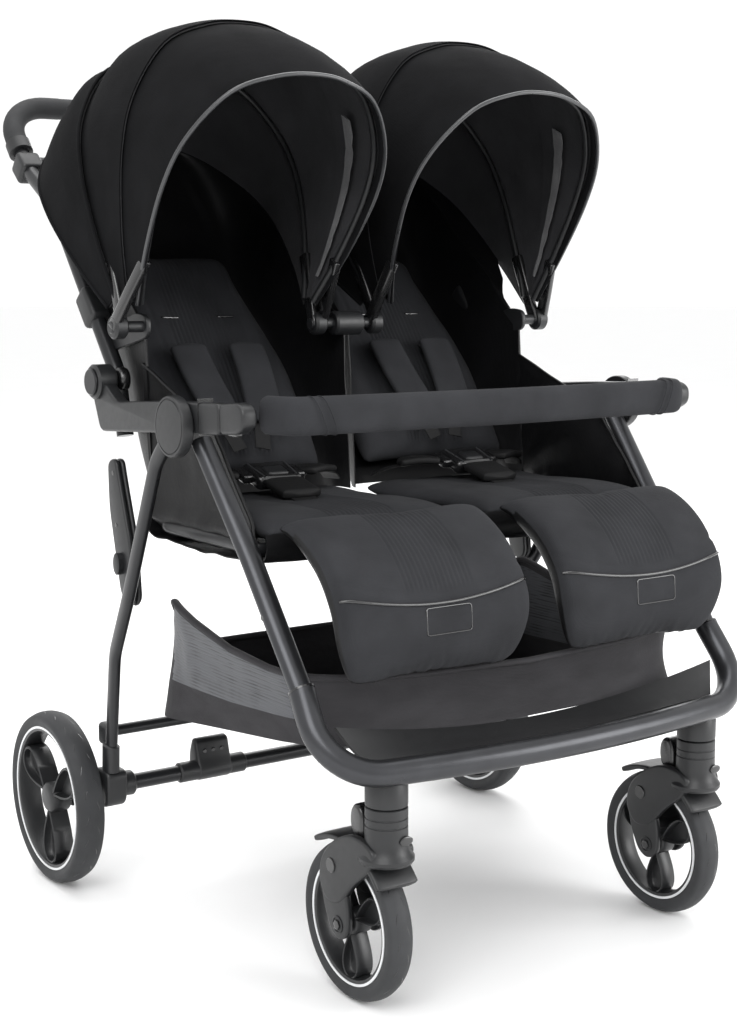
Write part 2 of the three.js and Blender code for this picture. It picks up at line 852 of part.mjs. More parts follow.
// ---------------------------------------------------------------- assembly
add("front_u_bar", uBar(), graphite);
add("foot_tray", footTray(), plastic);
add("seat_frame", seatFrame(), blackTube);
add("basket", basket(), basketCloth);
add("bumper_bar", bumperBar(), liner);
add("handle_tube", handleTube(), blackTube);
add("handle_grip", handleGrip(), rubber);
add("centre_strut", centreStrut(), blackTube);
add("rear_axle", rearAxle(), blackTube);
add("rear_crossbar", crossbar(), blackTube);
add("brake_pedal", brakePedal(), plastic);

for (const [name, side] of SIDES) {
  add(`front_leg_${name}`, frontLeg(side), graphite);
  add(`arm_${name}`, arm(side), plastic);
  add(`caster_socket_${name}`, casterSocket(side), plastic);
  add(`caster_fork_${name}`, casterFork(side), plastic);
  add(`caster_arm_${name}`, casterArm(side), plastic);
  add(`swivel_lock_${name}`, swivelLock(side), plastic);
  add(`front_tyre_${name}`, tyre(FRONT_WHEEL, side), rubber);
  add(`front_rim_${name}`, rim(FRONT_WHEEL, side), rimPlastic);
  add(`seat_pad_${name}`, seatPad(side), liner);
  add(`side_panel_${name}`, sidePanel(side), sideCloth);
  add(`buckle_${name}`, buckle(side), webbing);
  add(`bumper_end_${name}`, bumperEnd(side), plastic);
  add(`bumper_button_${name}`, bumperButton(side), plastic);
  for (const [section, { half, top, from, to }] of Object.entries(CANOPY_SECTIONS)) {
    add(`canopy_${section}_${name}`, canopySection(side, half, top, from, to), canopyCloth);
  }
  add(`canopy_bow_${name}`, canopyBow(side), plastic);
  add(`backrest_${name}`, backrest(side), liner);
  add(`calf_rest_${name}`, calfRest(side), liner);
  add(`rear_leg_${name}`, rearLeg(side), blackTube);
  add(`lock_housing_${name}`, lockHousing(side), plastic);
  add(`lock_knob_${name}`, lockKnob(side), plastic);
  add(`rear_tyre_${name}`, tyre(REAR_WHEEL, side), rubber);
  add(`rear_rim_${name}`, rim(REAR_WHEEL, side), rimPlastic);
}

export default model;
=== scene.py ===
import json
from math import cos, pi, radians, sin, tan

import bmesh
import bpy
from mathutils import Matrix, Vector, noise


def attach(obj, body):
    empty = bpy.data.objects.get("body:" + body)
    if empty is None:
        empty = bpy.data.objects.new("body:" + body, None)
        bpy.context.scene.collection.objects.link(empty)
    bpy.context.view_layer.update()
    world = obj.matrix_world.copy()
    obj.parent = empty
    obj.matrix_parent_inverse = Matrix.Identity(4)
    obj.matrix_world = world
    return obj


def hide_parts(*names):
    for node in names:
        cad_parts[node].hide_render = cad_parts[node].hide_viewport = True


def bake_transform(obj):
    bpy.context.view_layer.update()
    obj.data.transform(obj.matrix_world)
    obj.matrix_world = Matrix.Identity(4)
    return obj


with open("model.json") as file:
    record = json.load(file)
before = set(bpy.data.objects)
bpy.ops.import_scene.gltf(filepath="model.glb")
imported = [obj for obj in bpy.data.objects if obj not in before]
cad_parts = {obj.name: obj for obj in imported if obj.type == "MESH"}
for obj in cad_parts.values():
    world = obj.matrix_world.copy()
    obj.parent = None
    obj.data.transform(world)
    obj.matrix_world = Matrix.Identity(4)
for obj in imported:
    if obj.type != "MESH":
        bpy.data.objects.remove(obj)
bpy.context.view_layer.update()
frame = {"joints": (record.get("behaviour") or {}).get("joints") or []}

# A side-by-side twin pushchair. Metres, in the frame of the CAD model: the children face -Y.
# side is -1 for the left and +1 for the right of someone who looks at the front.
SIDES = (("left", -1), ("right", 1))
LETTERS = {-1: "a", 1: "b"}  # of the two straps, pads or slots beside each other on one seat
PIN = {j["name"]: Vector(j["pos_m"]) for j in frame["joints"] if "pos_m" in j}
MIDLENGTH = -20  # y of the middle of the whole length, in the design's own millimetres
X, Y, Z = Vector((1, 0, 0)), Vector((0, 1, 0)), Vector((0, 0, 1))

# ---------------------------------------------------------------- places, in the design's millimetres
SEAT_X = 157
CANOPY_X = 171.5
# (y, z) of what the frame turns on, and of its main bars
CANOPY_PIVOT = (3, 751)
FOLD_PIVOT = (62, 681)
LEG_PIVOT = (-160, 641)
REAR_AXLE = (170, 116)
AXLE_TUBE = (82, 146)
BAR_END = (-372, 366)
GRIP = (430, 1053)
RAIL_FRONT, RAIL_REAR = (-262, 505), (-8, 505)
BACK_HINGE = (22, 548)
CANOPY_BACK, CANOPY_SEAM, CANOPY_MID, CANOPY_RIM = 39, 67, 95, 123  # degrees above the line to the rear
BACKREST_LEAN = radians(54)  # above the horizontal


def at(x, y, z):
    """A point given in the design's millimetres."""
    return Vector((x, y - MIDLENGTH, z)) / 1000


def mm(*values):
    return Vector(values) / 1000


# ---------------------------------------------------------------- materials
class Look:
    """One material: a principled shader whose colour, roughness and relief come from procedural nodes."""

    def __init__(self, slot, color, roughness, metallic=0.0, sheen=0.0, coat=0.0, specular=0.5):
        self.slot = slot
        self.material = bpy.data.materials.new(slot)
        self.material.use_nodes = True
        self.nodes = self.material.node_tree.nodes
        self.shader = self.nodes["Principled BSDF"]
        self.color = (*color, 1)
        self.roughness = roughness
        sockets = self.shader.inputs
        sockets["Base Color"].default_value = self.color
        sockets["Roughness"].default_value = roughness
        sockets["Metallic"].default_value = metallic
        sockets["Sheen Weight"].default_value = sheen
        sockets["Sheen Roughness"].default_value = 0.45
        sockets["Coat Weight"].default_value = coat
        sockets["Coat Roughness"].default_value = 0.25
        sockets["Specular IOR Level"].default_value = specular
        self.place = self.nodes.new("ShaderNodeTexCoord").outputs["Object"]
        self.height = None

    def link(self, a, b):
        self.material.node_tree.links.new(a, b)

    def noise(self, scale, detail=3.0, stretch=(1, 1, 1)):
        scaled = self.nodes.new("ShaderNodeMapping")
        scaled.inputs["Scale"].default_value = stretch
        self.link(self.place, scaled.inputs["Vector"])
        texture = self.nodes.new("ShaderNodeTexNoise")
        texture.inputs["Scale"].default_value = scale
        texture.inputs["Detail"].default_value = detail
        self.link(scaled.outputs["Vector"], texture.inputs["Vector"])
        return texture.outputs["Fac"]

    def bands(self, scale, turn):
        turned = self.nodes.new("ShaderNodeMapping")
        turned.inputs["Rotation"].default_value = turn
        self.link(self.place, turned.inputs["Vector"])
        texture = self.nodes.new("ShaderNodeTexWave")
        texture.inputs["Scale"].default_value = scale
        texture.inputs["Distortion"].default_value = 0.6
        self.link(turned.outputs["Vector"], texture.inputs["Vector"])
        return texture.outputs["Fac"]

    def math(self, operation, a, b):
        node = self.nodes.new("ShaderNodeMath")
        node.operation = operation
        for socket, value in zip(node.inputs, (a, b)):
            if isinstance(value, (int, float)):
                socket.default_value = value
            else:
                self.link(value, socket)
        return node.outputs["Value"]

    def vary_color(self, factor, darker=0.75, lighter=1.3):
        """The colour drifts between a darker and a lighter shade of itself."""
        ramp = self.nodes.new("ShaderNodeValToRGB")
        ramp.color_ramp.elements[0].position = 0.3
        ramp.color_ramp.elements[1].position = 0.7
        ramp.color_ramp.elements[0].color = (*(c * darker for c in self.color[:3]), 1)
        ramp.color_ramp.elements[1].color = (*(min(c * lighter, 1) for c in self.color[:3]), 1)
        self.link(factor, ramp.inputs["Fac"])
        self.link(ramp.outputs["Color"], self.shader.inputs["Base Color"])
        return self

    def vary_roughness(self, factor, spread=0.12):
        node = self.nodes.new("ShaderNodeMapRange")
        node.inputs["To Min"].default_value = max(self.roughness - spread, 0.05)
        node.inputs["To Max"].default_value = min(self.roughness + spread, 1.0)
        self.link(factor, node.inputs["Value"])
        self.link(node.outputs["Result"], self.shader.inputs["Roughness"])
        return self

    def relief(self, height, depth, strength=0.5):
        """Adds fine relief, depth in metres."""
        bump = self.nodes.new("ShaderNodeBump")
        bump.inputs["Distance"].default_value = depth
        bump.inputs["Strength"].default_value = strength
        self.link(height, bump.inputs["Height"])
        if self.height is not None:
            self.link(self.height, bump.inputs["Normal"])
        self.height = bump.outputs["Normal"]
        self.link(self.height, self.shader.inputs["Normal"])
        return self


def coated_metal(slot, color, roughness, metallic):
    look = Look(slot, color, roughness, metallic=metallic)
    grain = look.noise(1400, 2)
    look.vary_color(look.noise(35, 4), 0.92, 1.1)
    look.vary_roughness(look.noise(60, 4), 0.06)
    return look.relief(grain, 0.00012, 0.35)


def moulded(slot, color, roughness, coat=0.0, grain_depth=0.00018):
    look = Look(slot, color, roughness, coat=coat)
    look.vary_color(look.noise(45, 4), 0.9, 1.12)
    look.vary_roughness(look.noise(110, 5), 0.08)
    return look.relief(look.noise(1100, 3), grain_depth, 0.4)


WAVE = 2 * pi / 20  # a wave texture repeats once in this length at scale 1


def woven(slot, color, roughness, sheen, thread=0.0011, depth=0.0003, drift=(0.8, 1.25), stretch=(1, 1, 1),
          shine=0.25):
    """Two sets of threads that cross, over a slow drift of shade."""
    look = Look(slot, color, roughness, sheen=sheen, specular=shine)
    per_metre = WAVE / thread
    warp = look.bands(per_metre, (0, 0, 0))
    weft = look.bands(per_metre, (0, radians(90), 0))
    third = look.bands(per_metre, (0, 0, radians(90)))
    threads = look.math("MAXIMUM", look.math("MAXIMUM", warp, weft), third)
    fluff = look.noise(700, 3)
    slow = look.noise(18, 5, stretch)
    mixed = look.math("ADD", look.math("MULTIPLY", slow, 0.75), look.math("MULTIPLY", fluff, 0.25))
    look.vary_color(mixed, *drift)
    look.vary_roughness(fluff, 0.08)
    look.relief(threads, depth, 0.45)
    return look.relief(look.noise(60, 4, stretch), 0.0016, 0.35)


def mesh_cloth(slot, color):
    """An open net: lighter threads round dark holes, with the slow moire of two layers."""
    look = Look(slot, color, 0.8, sheen=0.3, specular=0.2)
    net = look.math("MAXIMUM", look.bands(105, (0, radians(45), 0)), look.bands(105, (0, radians(-45), 0)))
    second = look.math("MAXIMUM", look.bands(98, (0, radians(50), 0)), look.bands(98, (0, radians(-41), 0)))
    both = look.math("MULTIPLY", net, second)
    look.vary_color(look.math("ADD", look.math("MULTIPLY", both, 0.6), look.noise(22, 5)), 0.35, 2.6)
    look.vary_roughness(both, 0.1)
    return look.relief(net, 0.0004, 0.6)


def rubber_look(slot, color, roughness):
    look = Look(slot, color, roughness, specular=0.4)
    look.vary_color(look.noise(30, 5), 0.85, 1.2)
    look.vary_roughness(look.noise(90, 4), 0.08)
    return look.relief(look.noise(900, 4), 0.00025, 0.5)


LOOKS = {
    "graphite_metal": coated_metal("graphite_metal", (0.05, 0.051, 0.055), 0.3, 0.75),
    "black_tube": coated_metal("black_tube", (0.014, 0.0145, 0.016), 0.3, 0.3),
    "black_plastic": moulded("black_plastic", (0.0105, 0.011, 0.012), 0.42),
    "rim_plastic": moulded("rim_plastic", (0.014, 0.0145, 0.0155), 0.38),
    "tyre_rubber": rubber_look("tyre_rubber", (0.026, 0.027, 0.029), 0.62),
    "grip_foam": rubber_look("grip_foam", (0.02, 0.0205, 0.022), 0.72),
    "canopy_cloth": woven("canopy_cloth", (0.0055, 0.0056, 0.0062), 0.95, 0.0, drift=(0.75, 1.4), shine=0.09),
    "liner_cloth": woven("liner_cloth", (0.024, 0.0246, 0.0272), 0.9, 0.02, 0.0014, 0.0004, shine=0.15),
    "side_cloth": woven("side_cloth", (0.0045, 0.0045, 0.005), 0.42, 0.0, 0.0008, 0.00015, (0.7, 1.4)),
    "basket_cloth": woven("basket_cloth", (0.026, 0.025, 0.0275), 0.75, 0.02, stretch=(1, 1, 3)),
    "buckle_plastic": moulded("buckle_plastic", (0.008, 0.008, 0.0085), 0.22, 0.6, 0.00005),
    "ring_silver": coated_metal("ring_silver", (0.72, 0.73, 0.74), 0.3, 0.25),
    "webbing": woven("webbing", (0.006, 0.006, 0.0064), 0.6, 0.0, 0.0016, 0.0004),
    "mesh_cloth": mesh_cloth("mesh_cloth", (0.03, 0.031, 0.034)),
    "canopy_lining": woven("canopy_lining", (0.034, 0.034, 0.0365), 0.6, 0.05, 0.0007, 0.00012),
    # the piping look also paints the highlight lines on the buckles
    "piping": moulded("piping", (0.03, 0.031, 0.033), 0.3, 0.3, 0.00005),
    "tray_plastic": moulded("black_plastic", (0.007, 0.0072, 0.008), 0.6),
    "grey_ribbon": woven("canopy_lining", (0.12, 0.12, 0.123), 0.7, 0.1, 0.002, 0.0006, (0.6, 1.5)),
}


# ---------------------------------------------------------------- lines
REACH_SHARE = 0.75  # an arc uses at most this much of each line beside its corner


def rounded(corners, radius, steps=8):
    """The line through the corners, with each inner corner turned into an arc."""
    radii = radius if isinstance(radius, (list, tuple)) else [radius] * len(corners)
    points = [corners[0]]
    for i in range(1, len(corners) - 1):
        corner = corners[i]
        back = (corners[i - 1] - corner).normalized()
        ahead = (corners[i + 1] - corner).normalized()
        half = back.angle(ahead) / 2
        reach = min(
            radii[i - 1] / tan(half),
            (corners[i - 1] - corner).length * REACH_SHARE,
            (corners[i + 1] - corner).length * REACH_SHARE,
        )
        centre = corner + (back + ahead).normalized() * (reach / cos(half))
        start, stop = corner + back * reach - centre, corner + ahead * reach - centre
        axis = start.cross(stop).normalized()
        turn = start.angle(stop)
        points += [centre + Matrix.Rotation(turn * k / steps, 3, axis) @ start for k in range(steps + 1)]
    return points + [corners[-1]]


def rounded_loop(corners, radius, steps=5):
    """A closed outline of (u, v) points with its corners rounded."""
    points = []
    count = len(corners)
    for i, corner in enumerate(corners):
        corner = Vector(corner)
        back, ahead = Vector(corners[i - 1]) - corner, Vector(corners[(i + 1) % count]) - corner
        reach = min(radius, back.length * 0.48, ahead.length * 0.48)
        start, stop = corner + back.normalized() * reach, corner + ahead.normalized() * reach
        for k in range(steps + 1):
            t = k / steps
            points.append(start * (1 - t) ** 2 + corner * 2 * t * (1 - t) + stop * t * t)
    return points


def spline(points, count):
    """A smooth curve through the points, as count + 1 points."""
    found = []
    last = len(points) - 1
    for k in range(count + 1):
        place = k / count * last
        i = min(int(place), last - 1)
        t = place - i
        before, a, b, after = points[max(i - 1, 0)], points[i], points[i + 1], points[min(i + 2, last)]
        found.append(
            a
            + (b - before) * (t / 2)
            + (before * 2 - a * 5 + b * 4 - after) * (t * t / 2)
            + (a * 3 - before - b * 3 + after) * (t**3 / 2)
        )
    return found


def smooth(t):
    t = min(max(t, 0.0), 1.0)
    return t * t * (3 - 2 * t)


def squared(value, power):
    """The value's size to a power, with its own sign."""
    return abs(value) ** power * (1 if value > 0 else -1)


def oval(across, up=None, sides=20, power=1.0):
    """A section as (across, up) points. A power under 1 makes it squarer."""
    up = across if up is None else up
    corners = []
    for i in range(sides):
        angle = 2 * pi * (i + 0.5) / sides
        c, s = cos(angle), sin(angle)
        corners.append((across * squared(c, power), up * squared(s, power)))
    return corners


# ---------------------------------------------------------------- meshes
def dress(piece, look, body, sharp=40):
    """Gives a piece its finish and the body that it rides on."""
    piece.data.materials.clear()
    piece.data.materials.append(LOOKS[look].material)
    piece.data.shade_smooth()
    piece.data.set_sharp_from_angle(angle=radians(sharp))
    if body:
        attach(piece, body)
    return piece


def mesh_piece(name, vertices, faces, look, body, sharp=40):
    mesh = bpy.data.meshes.new(name)
    mesh.from_pydata([tuple(v) for v in vertices], [], faces)
    work = bmesh.new()
    work.from_mesh(mesh)
    bmesh.ops.remove_doubles(work, verts=work.verts, dist=1e-6)
    bmesh.ops.recalc_face_normals(work, faces=work.faces)
    work.to_mesh(mesh)
    work.free()
    piece = bpy.data.objects.new(name, mesh)
    bpy.context.scene.collection.objects.link(piece)
    return dress(piece, look, body, sharp)


def modify(piece, kind, **settings):
    """Adds a modifier and applies it."""
    modifier = piece.modifiers.new(kind, kind)
    for key, value in settings.items():
        setattr(modifier, key, value)
    evaluated = piece.evaluated_get(bpy.context.evaluated_depsgraph_get())
    mesh = bpy.data.meshes.new_from_object(evaluated)
    old = piece.data
    piece.modifiers.clear()
    piece.data = mesh
    bpy.data.meshes.remove(old)


def join(name, parts):
    """Joins finished parts into one piece, which keeps the first part's body and slot."""
    first = parts[0]
    with bpy.context.temp_override(active_object=first, selected_editable_objects=parts, object=first):
        bpy.ops.object.join()
    first.name = name
    return first


def ring_faces(rings, sides, closed=False):
    faces = []
    for i in range(rings if closed else rings - 1):
        low, high = i * sides, (i + 1) % rings * sides
        for k in range(sides):
            after = (k + 1) % sides
            faces.append((low + k, low + after, high + after, high + k))
    return faces


def loft(name, rings, look, body, sharp=40, closed=False):
    """A skin over rings of points, with an end face on the first and last ring."""
    sides = len(rings[0])
    vertices = [point for ring in rings for point in ring]
    faces = ring_faces(len(rings), sides, closed)
    if not closed:
        faces += [tuple(range(sides))[::-1], tuple(len(vertices) - sides + k for k in range(sides))]
    return mesh_piece(name, vertices, faces, look, body, sharp)


def sweep(name, path, section, look, body, reference=X, dome=0.0, closed=False, taper=None, sharp=40):
    """Carries a section along a path. dome rounds the two ends by that radius."""
    count = len(path)
    tangents = []
    for i in range(count):
        before = path[i - 1] if i or closed else path[0]
        after = path[(i + 1) % count] if i < count - 1 or closed else path[-1]
        tangents.append((after - before).normalized())
    across = (reference - tangents[0] * reference.dot(tangents[0])).normalized()
    rings = []
    for i, (point, tangent) in enumerate(zip(path, tangents)):
        if i:
            across = tangents[i - 1].rotation_difference(tangent) @ across
        up = tangent.cross(across)
        size = taper(i / (count - 1)) if taper else 1
        rings.append([point + across * (u * size) + up * (v * size) for u, v in section])
    if dome and not closed:
        for end, outward in ((0, -tangents[0]), (-1, tangents[-1])):
            edge, centre = rings[end], path[end]
            extra = []
            for step in (1, 2, 3):
                angle = step / 3 * radians(80)
                shift = outward * (dome * sin(angle))
                extra.append([centre + (p - centre) * (1 - (1 - cos(angle)) * 0.8) + shift for p in edge])
            rings = extra[::-1] + rings if end == 0 else rings + extra
    return loft(name, rings, look, body, sharp, closed)


def lathe(name, profile, centre, axis, look, body, segments=72, sharp=35):
    """Spins (radius, along) points, in millimetres, about a line through centre."""
    first = Y if axis == X else X
    second = axis.cross(first)
    rings = []
    for k in range(segments):
        angle = 2 * pi * k / segments
        outward = first * cos(angle) + second * sin(angle)
        rings.append([centre + outward * (r / 1000) + axis * (a / 1000) for r, a in profile])
    faces = []
    count = len(profile)
    for k in range(segments):
        low, high = k * count, (k + 1) % segments * count
        faces += [(low + i, low + i + 1, high + i + 1, high + i) for i in range(count - 1)]
    return mesh_piece(name, [p for ring in rings for p in ring], faces, look, body, sharp)


def plate(name, outline, x_from, x_to, look, body, bevel):
    """A casing whose (y, z) outline stands from x_from to x_to, with rounded edges."""
    count = len(outline)
    vertices = [Vector((x, p[0], p[1])) for x in (x_from, x_to) for p in outline]
    faces = [tuple(range(count)), tuple(range(2 * count - 1, count - 1, -1))]
    faces += [(k, (k + 1) % count, count + (k + 1) % count, count + k) for k in range(count)]
    piece = mesh_piece(name, vertices, faces, look, body)
    if bevel:
        modify(piece, "BEVEL", width=bevel, segments=3, limit_method="ANGLE", angle_limit=radians(50))
        dress(piece, look, None)
    return piece


def side_outline(corners, radius, steps=5):
    """A rounded (y, z) outline in metres from the design's millimetres."""
    return [Vector((y - MIDLENGTH, z)) / 1000 for y, z in rounded_loop(corners, radius, steps)]


def block(name, centre, size, look, body, bevel, turn=None):
    """A rounded block: size in metres, turned by a matrix about its own centre."""
    turn = turn or Matrix.Identity(3)
    vertices = []
    for i in (-1, 1):
        for j in (-1, 1):
            for k in (-1, 1):
                vertices.append(centre + turn @ Vector((i * size[0], j * size[1], k * size[2])) / 2)
    faces = [(0, 1, 3, 2), (4, 6, 7, 5), (0, 4, 5, 1), (2, 3, 7, 6), (0, 2, 6, 4), (1, 5, 7, 3)]
    piece = mesh_piece(name, vertices, faces, look, body)
    modify(piece, "BEVEL", width=bevel, segments=4, limit_method="ANGLE", angle_limit=radians(40))
    return dress(piece, look, None)


def sheet_grid(name, grid, thickness, look, body, closed=False):
    """A thin sheet of cloth through a grid of points, thickened by half to each side."""
    rows, columns = len(grid), len(grid[0])
    faces = []
    for i in range(rows - 1):
        for k in range(columns if closed else columns - 1):
            after = (k + 1) % columns
            low, high = i * columns, (i + 1) * columns
            faces.append((low + k, low + after, high + after, high + k))
    piece = mesh_piece(name, [p for row in grid for p in row], faces, look, None, 60)
    modify(piece, "SOLIDIFY", thickness=thickness, offset=0)
    dress(piece, look, body, 60)
    return piece


def wrinkle(point, size, depth, seed=0.0):
    """Soft folds: a smooth value from -depth to depth that depends on the place only."""
    return noise.noise(point / size + Vector((seed, seed * 1.7, -seed))) * depth


# ---------------------------------------------------------------- wheels
def teardrop(start, end, half_width, count=40):
    """A loop in the wheel's plane as (outward, along) millimetres: narrow at the hub, round outside."""
    points = []
    for k in range(count):
        t = 2 * pi * k / count
        outward = start + (end - start) * (1 - cos(t)) / 2
        points.append((outward, half_width * sin(t) * abs(sin(t / 2)) ** 1.3))
    return points


def spoke_cup(name, centre, angle, reach, depth, body):
    """One looped spoke: a deep cup with a thin raised rim and a floor half way through."""
    outer = teardrop(reach * 0.12, reach * 1.0, reach * 0.31)
    inner = teardrop(reach * 0.2, reach * 0.955, reach * 0.262)
    middle = reach * 0.6
    outward = Y * cos(angle) + Z * sin(angle)
    along = X.cross(outward)

    def ring(points, x, scale=1.0):
        placed = []
        for u, v in points:
            u, v = middle + (u - middle) * scale, v * scale
            placed.append(centre + outward * (u / 1000) + along * (v / 1000) + X * (x / 1000))
        return placed

    floor = depth * 0.12
    face = [(inner, floor, 0.5), (inner, floor, 0.9), (inner, depth * 0.3, 1), (inner, depth * 0.93, 1)]
    lip = [(teardrop(reach * 0.16, reach * 0.978, reach * 0.286), depth, 1), (outer, depth * 0.9, 1)]
    rings = [ring(points, x, scale) for points, x, scale in face + lip]
    rings += [ring(points, -x, scale) for points, x, scale in reversed(face + lip)]
    return loft(name, rings, "rim_plastic", body, 50)


def tread(name, centre, radius, half, count):
    """Painted shade of the tread's slanted grooves: short dark glossy marks set into the tyre, in two
    staggered rows.
    """
    shade_marks = []
    for k in range(count):
        for row, at_side in ((0, -1), (1, 1)):
            turn = 2 * pi * (k + row * 0.5) / count
            rings = []
            for i in range(9):
                t = i / 8
                angle = turn + (t - 0.5) * 17 / radius
                x = at_side * (half * (0.22 + 0.3 * t))
                bulge = radius - 0.5 - 4.5 * (x / half) ** 2
                outward = Y * cos(angle) + Z * sin(angle)
                spot = centre + outward * (bulge / 1000) + X * (x / 1000)
                size = 0.75 * sin(pi * (0.08 + 0.84 * t)) / 1000
                ring = oval(1, sides=6)
                rings.append([spot + X * (u * size) + outward * (v * size * 0.8) for u, v in ring])
            shade_marks.append(loft(f"{name}_{k}_{row}", rings, "buckle_plastic", None))
    return shade_marks


def wheel(name, pin, body, radius, half, ring, tyre_name, rim_name):
    centre = PIN[pin]
    crown, wall = radius, ring + 2.5
    section = [
        (wall - 3, -half * 0.6),
        (wall - 1.5, -half * 0.84),
        (wall + 2, -half * 0.93),
        (wall + (crown - wall) * 0.4, -half),
        (wall + (crown - wall) * 0.68, -half * 0.93),
        (crown - 2.6, -half * 0.66),
        (crown - 0.5, -half * 0.33),
        (crown, 0),
    ]
    section += [(r, -x) for r, x in reversed(section[:-1])]
    curve = [(p.x, p.y) for p in spline([Vector((r, x)) for r, x in section], 34)]
    tyre = lathe(f"{name}_tyre", curve + [curve[0]], centre, X, "tyre_rubber", body, 96, 60)
    # painted shade: dark marks stand for the shade inside the tread's grooves, which are not cut into the
    # tyre
    shade_marks = tread(f"{name}_slot", centre, radius, half, 22 if radius > 100 else 18)
    tread_shade = join(f"{name}_tread_shade_marks", shade_marks)
    dress(tread_shade, "buckle_plastic", body)
    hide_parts(tyre_name)

    lip = half * 0.83
    rim_section = [
        (ring - 7.5, -lip * 0.75), (ring - 6.5, -lip * 0.96), (ring - 4.5, -lip), (ring + 1.2, -lip),
        (ring + 1.6, -lip * 0.5), (ring + 1.6, lip * 0.5), (ring + 1.2, lip), (ring - 4.5, lip),
        (ring - 6.5, lip * 0.96), (ring - 7.5, lip * 0.75), (ring - 8.5, 0), (ring - 7.5, -lip * 0.75),
    ]
    rim = lathe(f"{name}_rim", rim_section, centre, X, "rim_plastic", body, 96, 30)
    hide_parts(rim_name)
    for face in (-1, 1):
        at_x = face * (lip + 0.25)
        line = [(ring - 2.9, at_x - 0.7), (ring - 2.9, at_x + 0.55), (ring - 1.4, at_x + 0.85)]
        line += [(ring, at_x + 0.55), (ring, at_x - 0.7), (ring - 2.9, at_x - 0.7)]
        where = "in" if face < 0 else "out"
        lathe(f"{name}_ring_{where}", line, centre, X, "ring_silver", body, 96)
    for i in range(3):
        spoke_cup(f"{name}_spoke_{i + 1}", centre, pi / 2 + pi + i * 2 * pi / 3, ring - 4, lip * 0.86, body)
    hub = ring * 0.21
    hub_section = [(0, -lip * 1.02), (hub * 0.5, -lip * 1.0), (hub * 0.86, -lip * 0.9), (hub, -lip * 0.72)]
    hub_section += [(hub, lip * 0.72), (hub * 0.86, lip * 0.9), (hub * 0.5, lip * 1.0), (0, lip * 1.02)]
    lathe(f"{name}_hub", hub_section, centre, X, "black_plastic", body, 48, 50)


for name, side in SIDES:
    wheel(f"rear_{name}", f"rear_wheel_spin_{name}", f"rear_wheel_{name}", 116, 19, 97,
          f"rear_tyre_{name}", f"rear_rim_{name}")
    wheel(f"front_{name}", f"front_wheel_spin_{name}", f"front_wheel_{name}", 91.5, 16, 72.5,
          f"front_tyre_{name}", f"front_rim_{name}")


# ---------------------------------------------------------------- tubes of the frame
def tube(name, corners, bend, section, look, body, *nodes, reference=X, steps=10):
    path = rounded([at(*corner) for corner in corners], [b / 1000 for b in bend], steps)
    piece = sweep(name, path, section, look, body, reference)
    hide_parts(*nodes)


def cross_bar(name, radius, from_x, to_x, y, z, look, body, segments=28, bevel=0.8):
    """A round bar across the frame, in the design's millimetres."""
    low, high = min(from_x, to_x), max(from_x, to_x)
    section = [(0, low), (radius - bevel, low), (radius, low + bevel)]
    section += [(radius, high - bevel), (radius - bevel, high), (0, high)]
    return lathe(name, section, at(0, y, z), X, look, body, segments)


tube("lower_front_bar",
     [(-309, *BAR_END), (-318, -435, 283), (0, -491.5, 283), (318, -435, 283), (309, *BAR_END)],
     [70, 1300, 70], oval(0.0149, sides=28), "graphite_metal", "front_frame", "front_u_bar", steps=14)
for name, side in SIDES:
    tube(f"front_leg_tube_{name}",
         [(side * 321, -177, 624), (side * 315, -277, 499), (side * 309.1, -370.4, 368.2)],
         [300], oval(0.0132, 0.0104, 28), "graphite_metal", "front_frame", f"front_leg_{name}")
    joint = at(side * 309, -371.2, 367.2)
    along = (at(side * 309, *BAR_END) - at(side * 315, -277, 499)).normalized()
    sweep(f"leg_joint_{name}", [joint - along * 0.0012, joint + along * 0.0012], oval(0.0153, sides=28),
          "buckle_plastic", "front_frame")
    for k, (y, z) in enumerate(((-228, 560), (-318, 440))):
        cross_bar(f"leg_rivet_{name}_{k + 1}", 3.6, side * 322, side * (329.5 - k * 3.5), y, z,
                  "buckle_plastic", "front_frame", 16)

tube("seat_side_rail",
     [(-292, *RAIL_FRONT), (-292, *RAIL_REAR), (292, *RAIL_REAR), (292, *RAIL_FRONT)], [40, 40],
     oval(0.0088, sides=20), "black_tube", "front_frame", "seat_frame", reference=Z)
cross_bar("seat_front_rail", 8.8, -301, 301, *RAIL_FRONT, "black_tube", "front_frame")

HANDLE_LEG = [(307, 48, 612), (307, 66, 690), (306, 246, 908), (300, 352, 962), (300, *GRIP)]
handle_corners = [(-x, y, z) for x, y, z in HANDLE_LEG] + HANDLE_LEG[::-1]
tube("pushing_handle", handle_corners, [60, 120, 40, 72, 72, 40, 120, 60], oval(0.0108, sides=22),
     "black_tube", "handle_frame", "handle_tube")
cross_bar("handle_crossbar", 8, -299, 299, 358, 970, "black_tube", "handle_frame")
grip_path = [at(x, *GRIP) for x in (-222, -80, 80, 222)]
grip = sweep("grip_sleeve", grip_path, oval(0.0148, sides=28), "grip_foam", "handle_frame",
             reference=Z, dome=0.002)
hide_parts("handle_grip")
strut_path = rounded([at(0, 350, 961), at(0, 60, 768), at(0, *CANOPY_PIVOT)], [0.06])
strut = sweep("middle_strut", strut_path, oval(0.0078, sides=20), "black_tube", "handle_frame")
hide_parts("centre_strut")
cross_bar("middle_canopy_pin", 7, -57, 57, *CANOPY_PIVOT, "black_plastic", "handle_frame")
cross_bar("middle_boss", 16, -22, 22, *CANOPY_PIVOT, "black_plastic", "handle_frame", 40, 2.5)

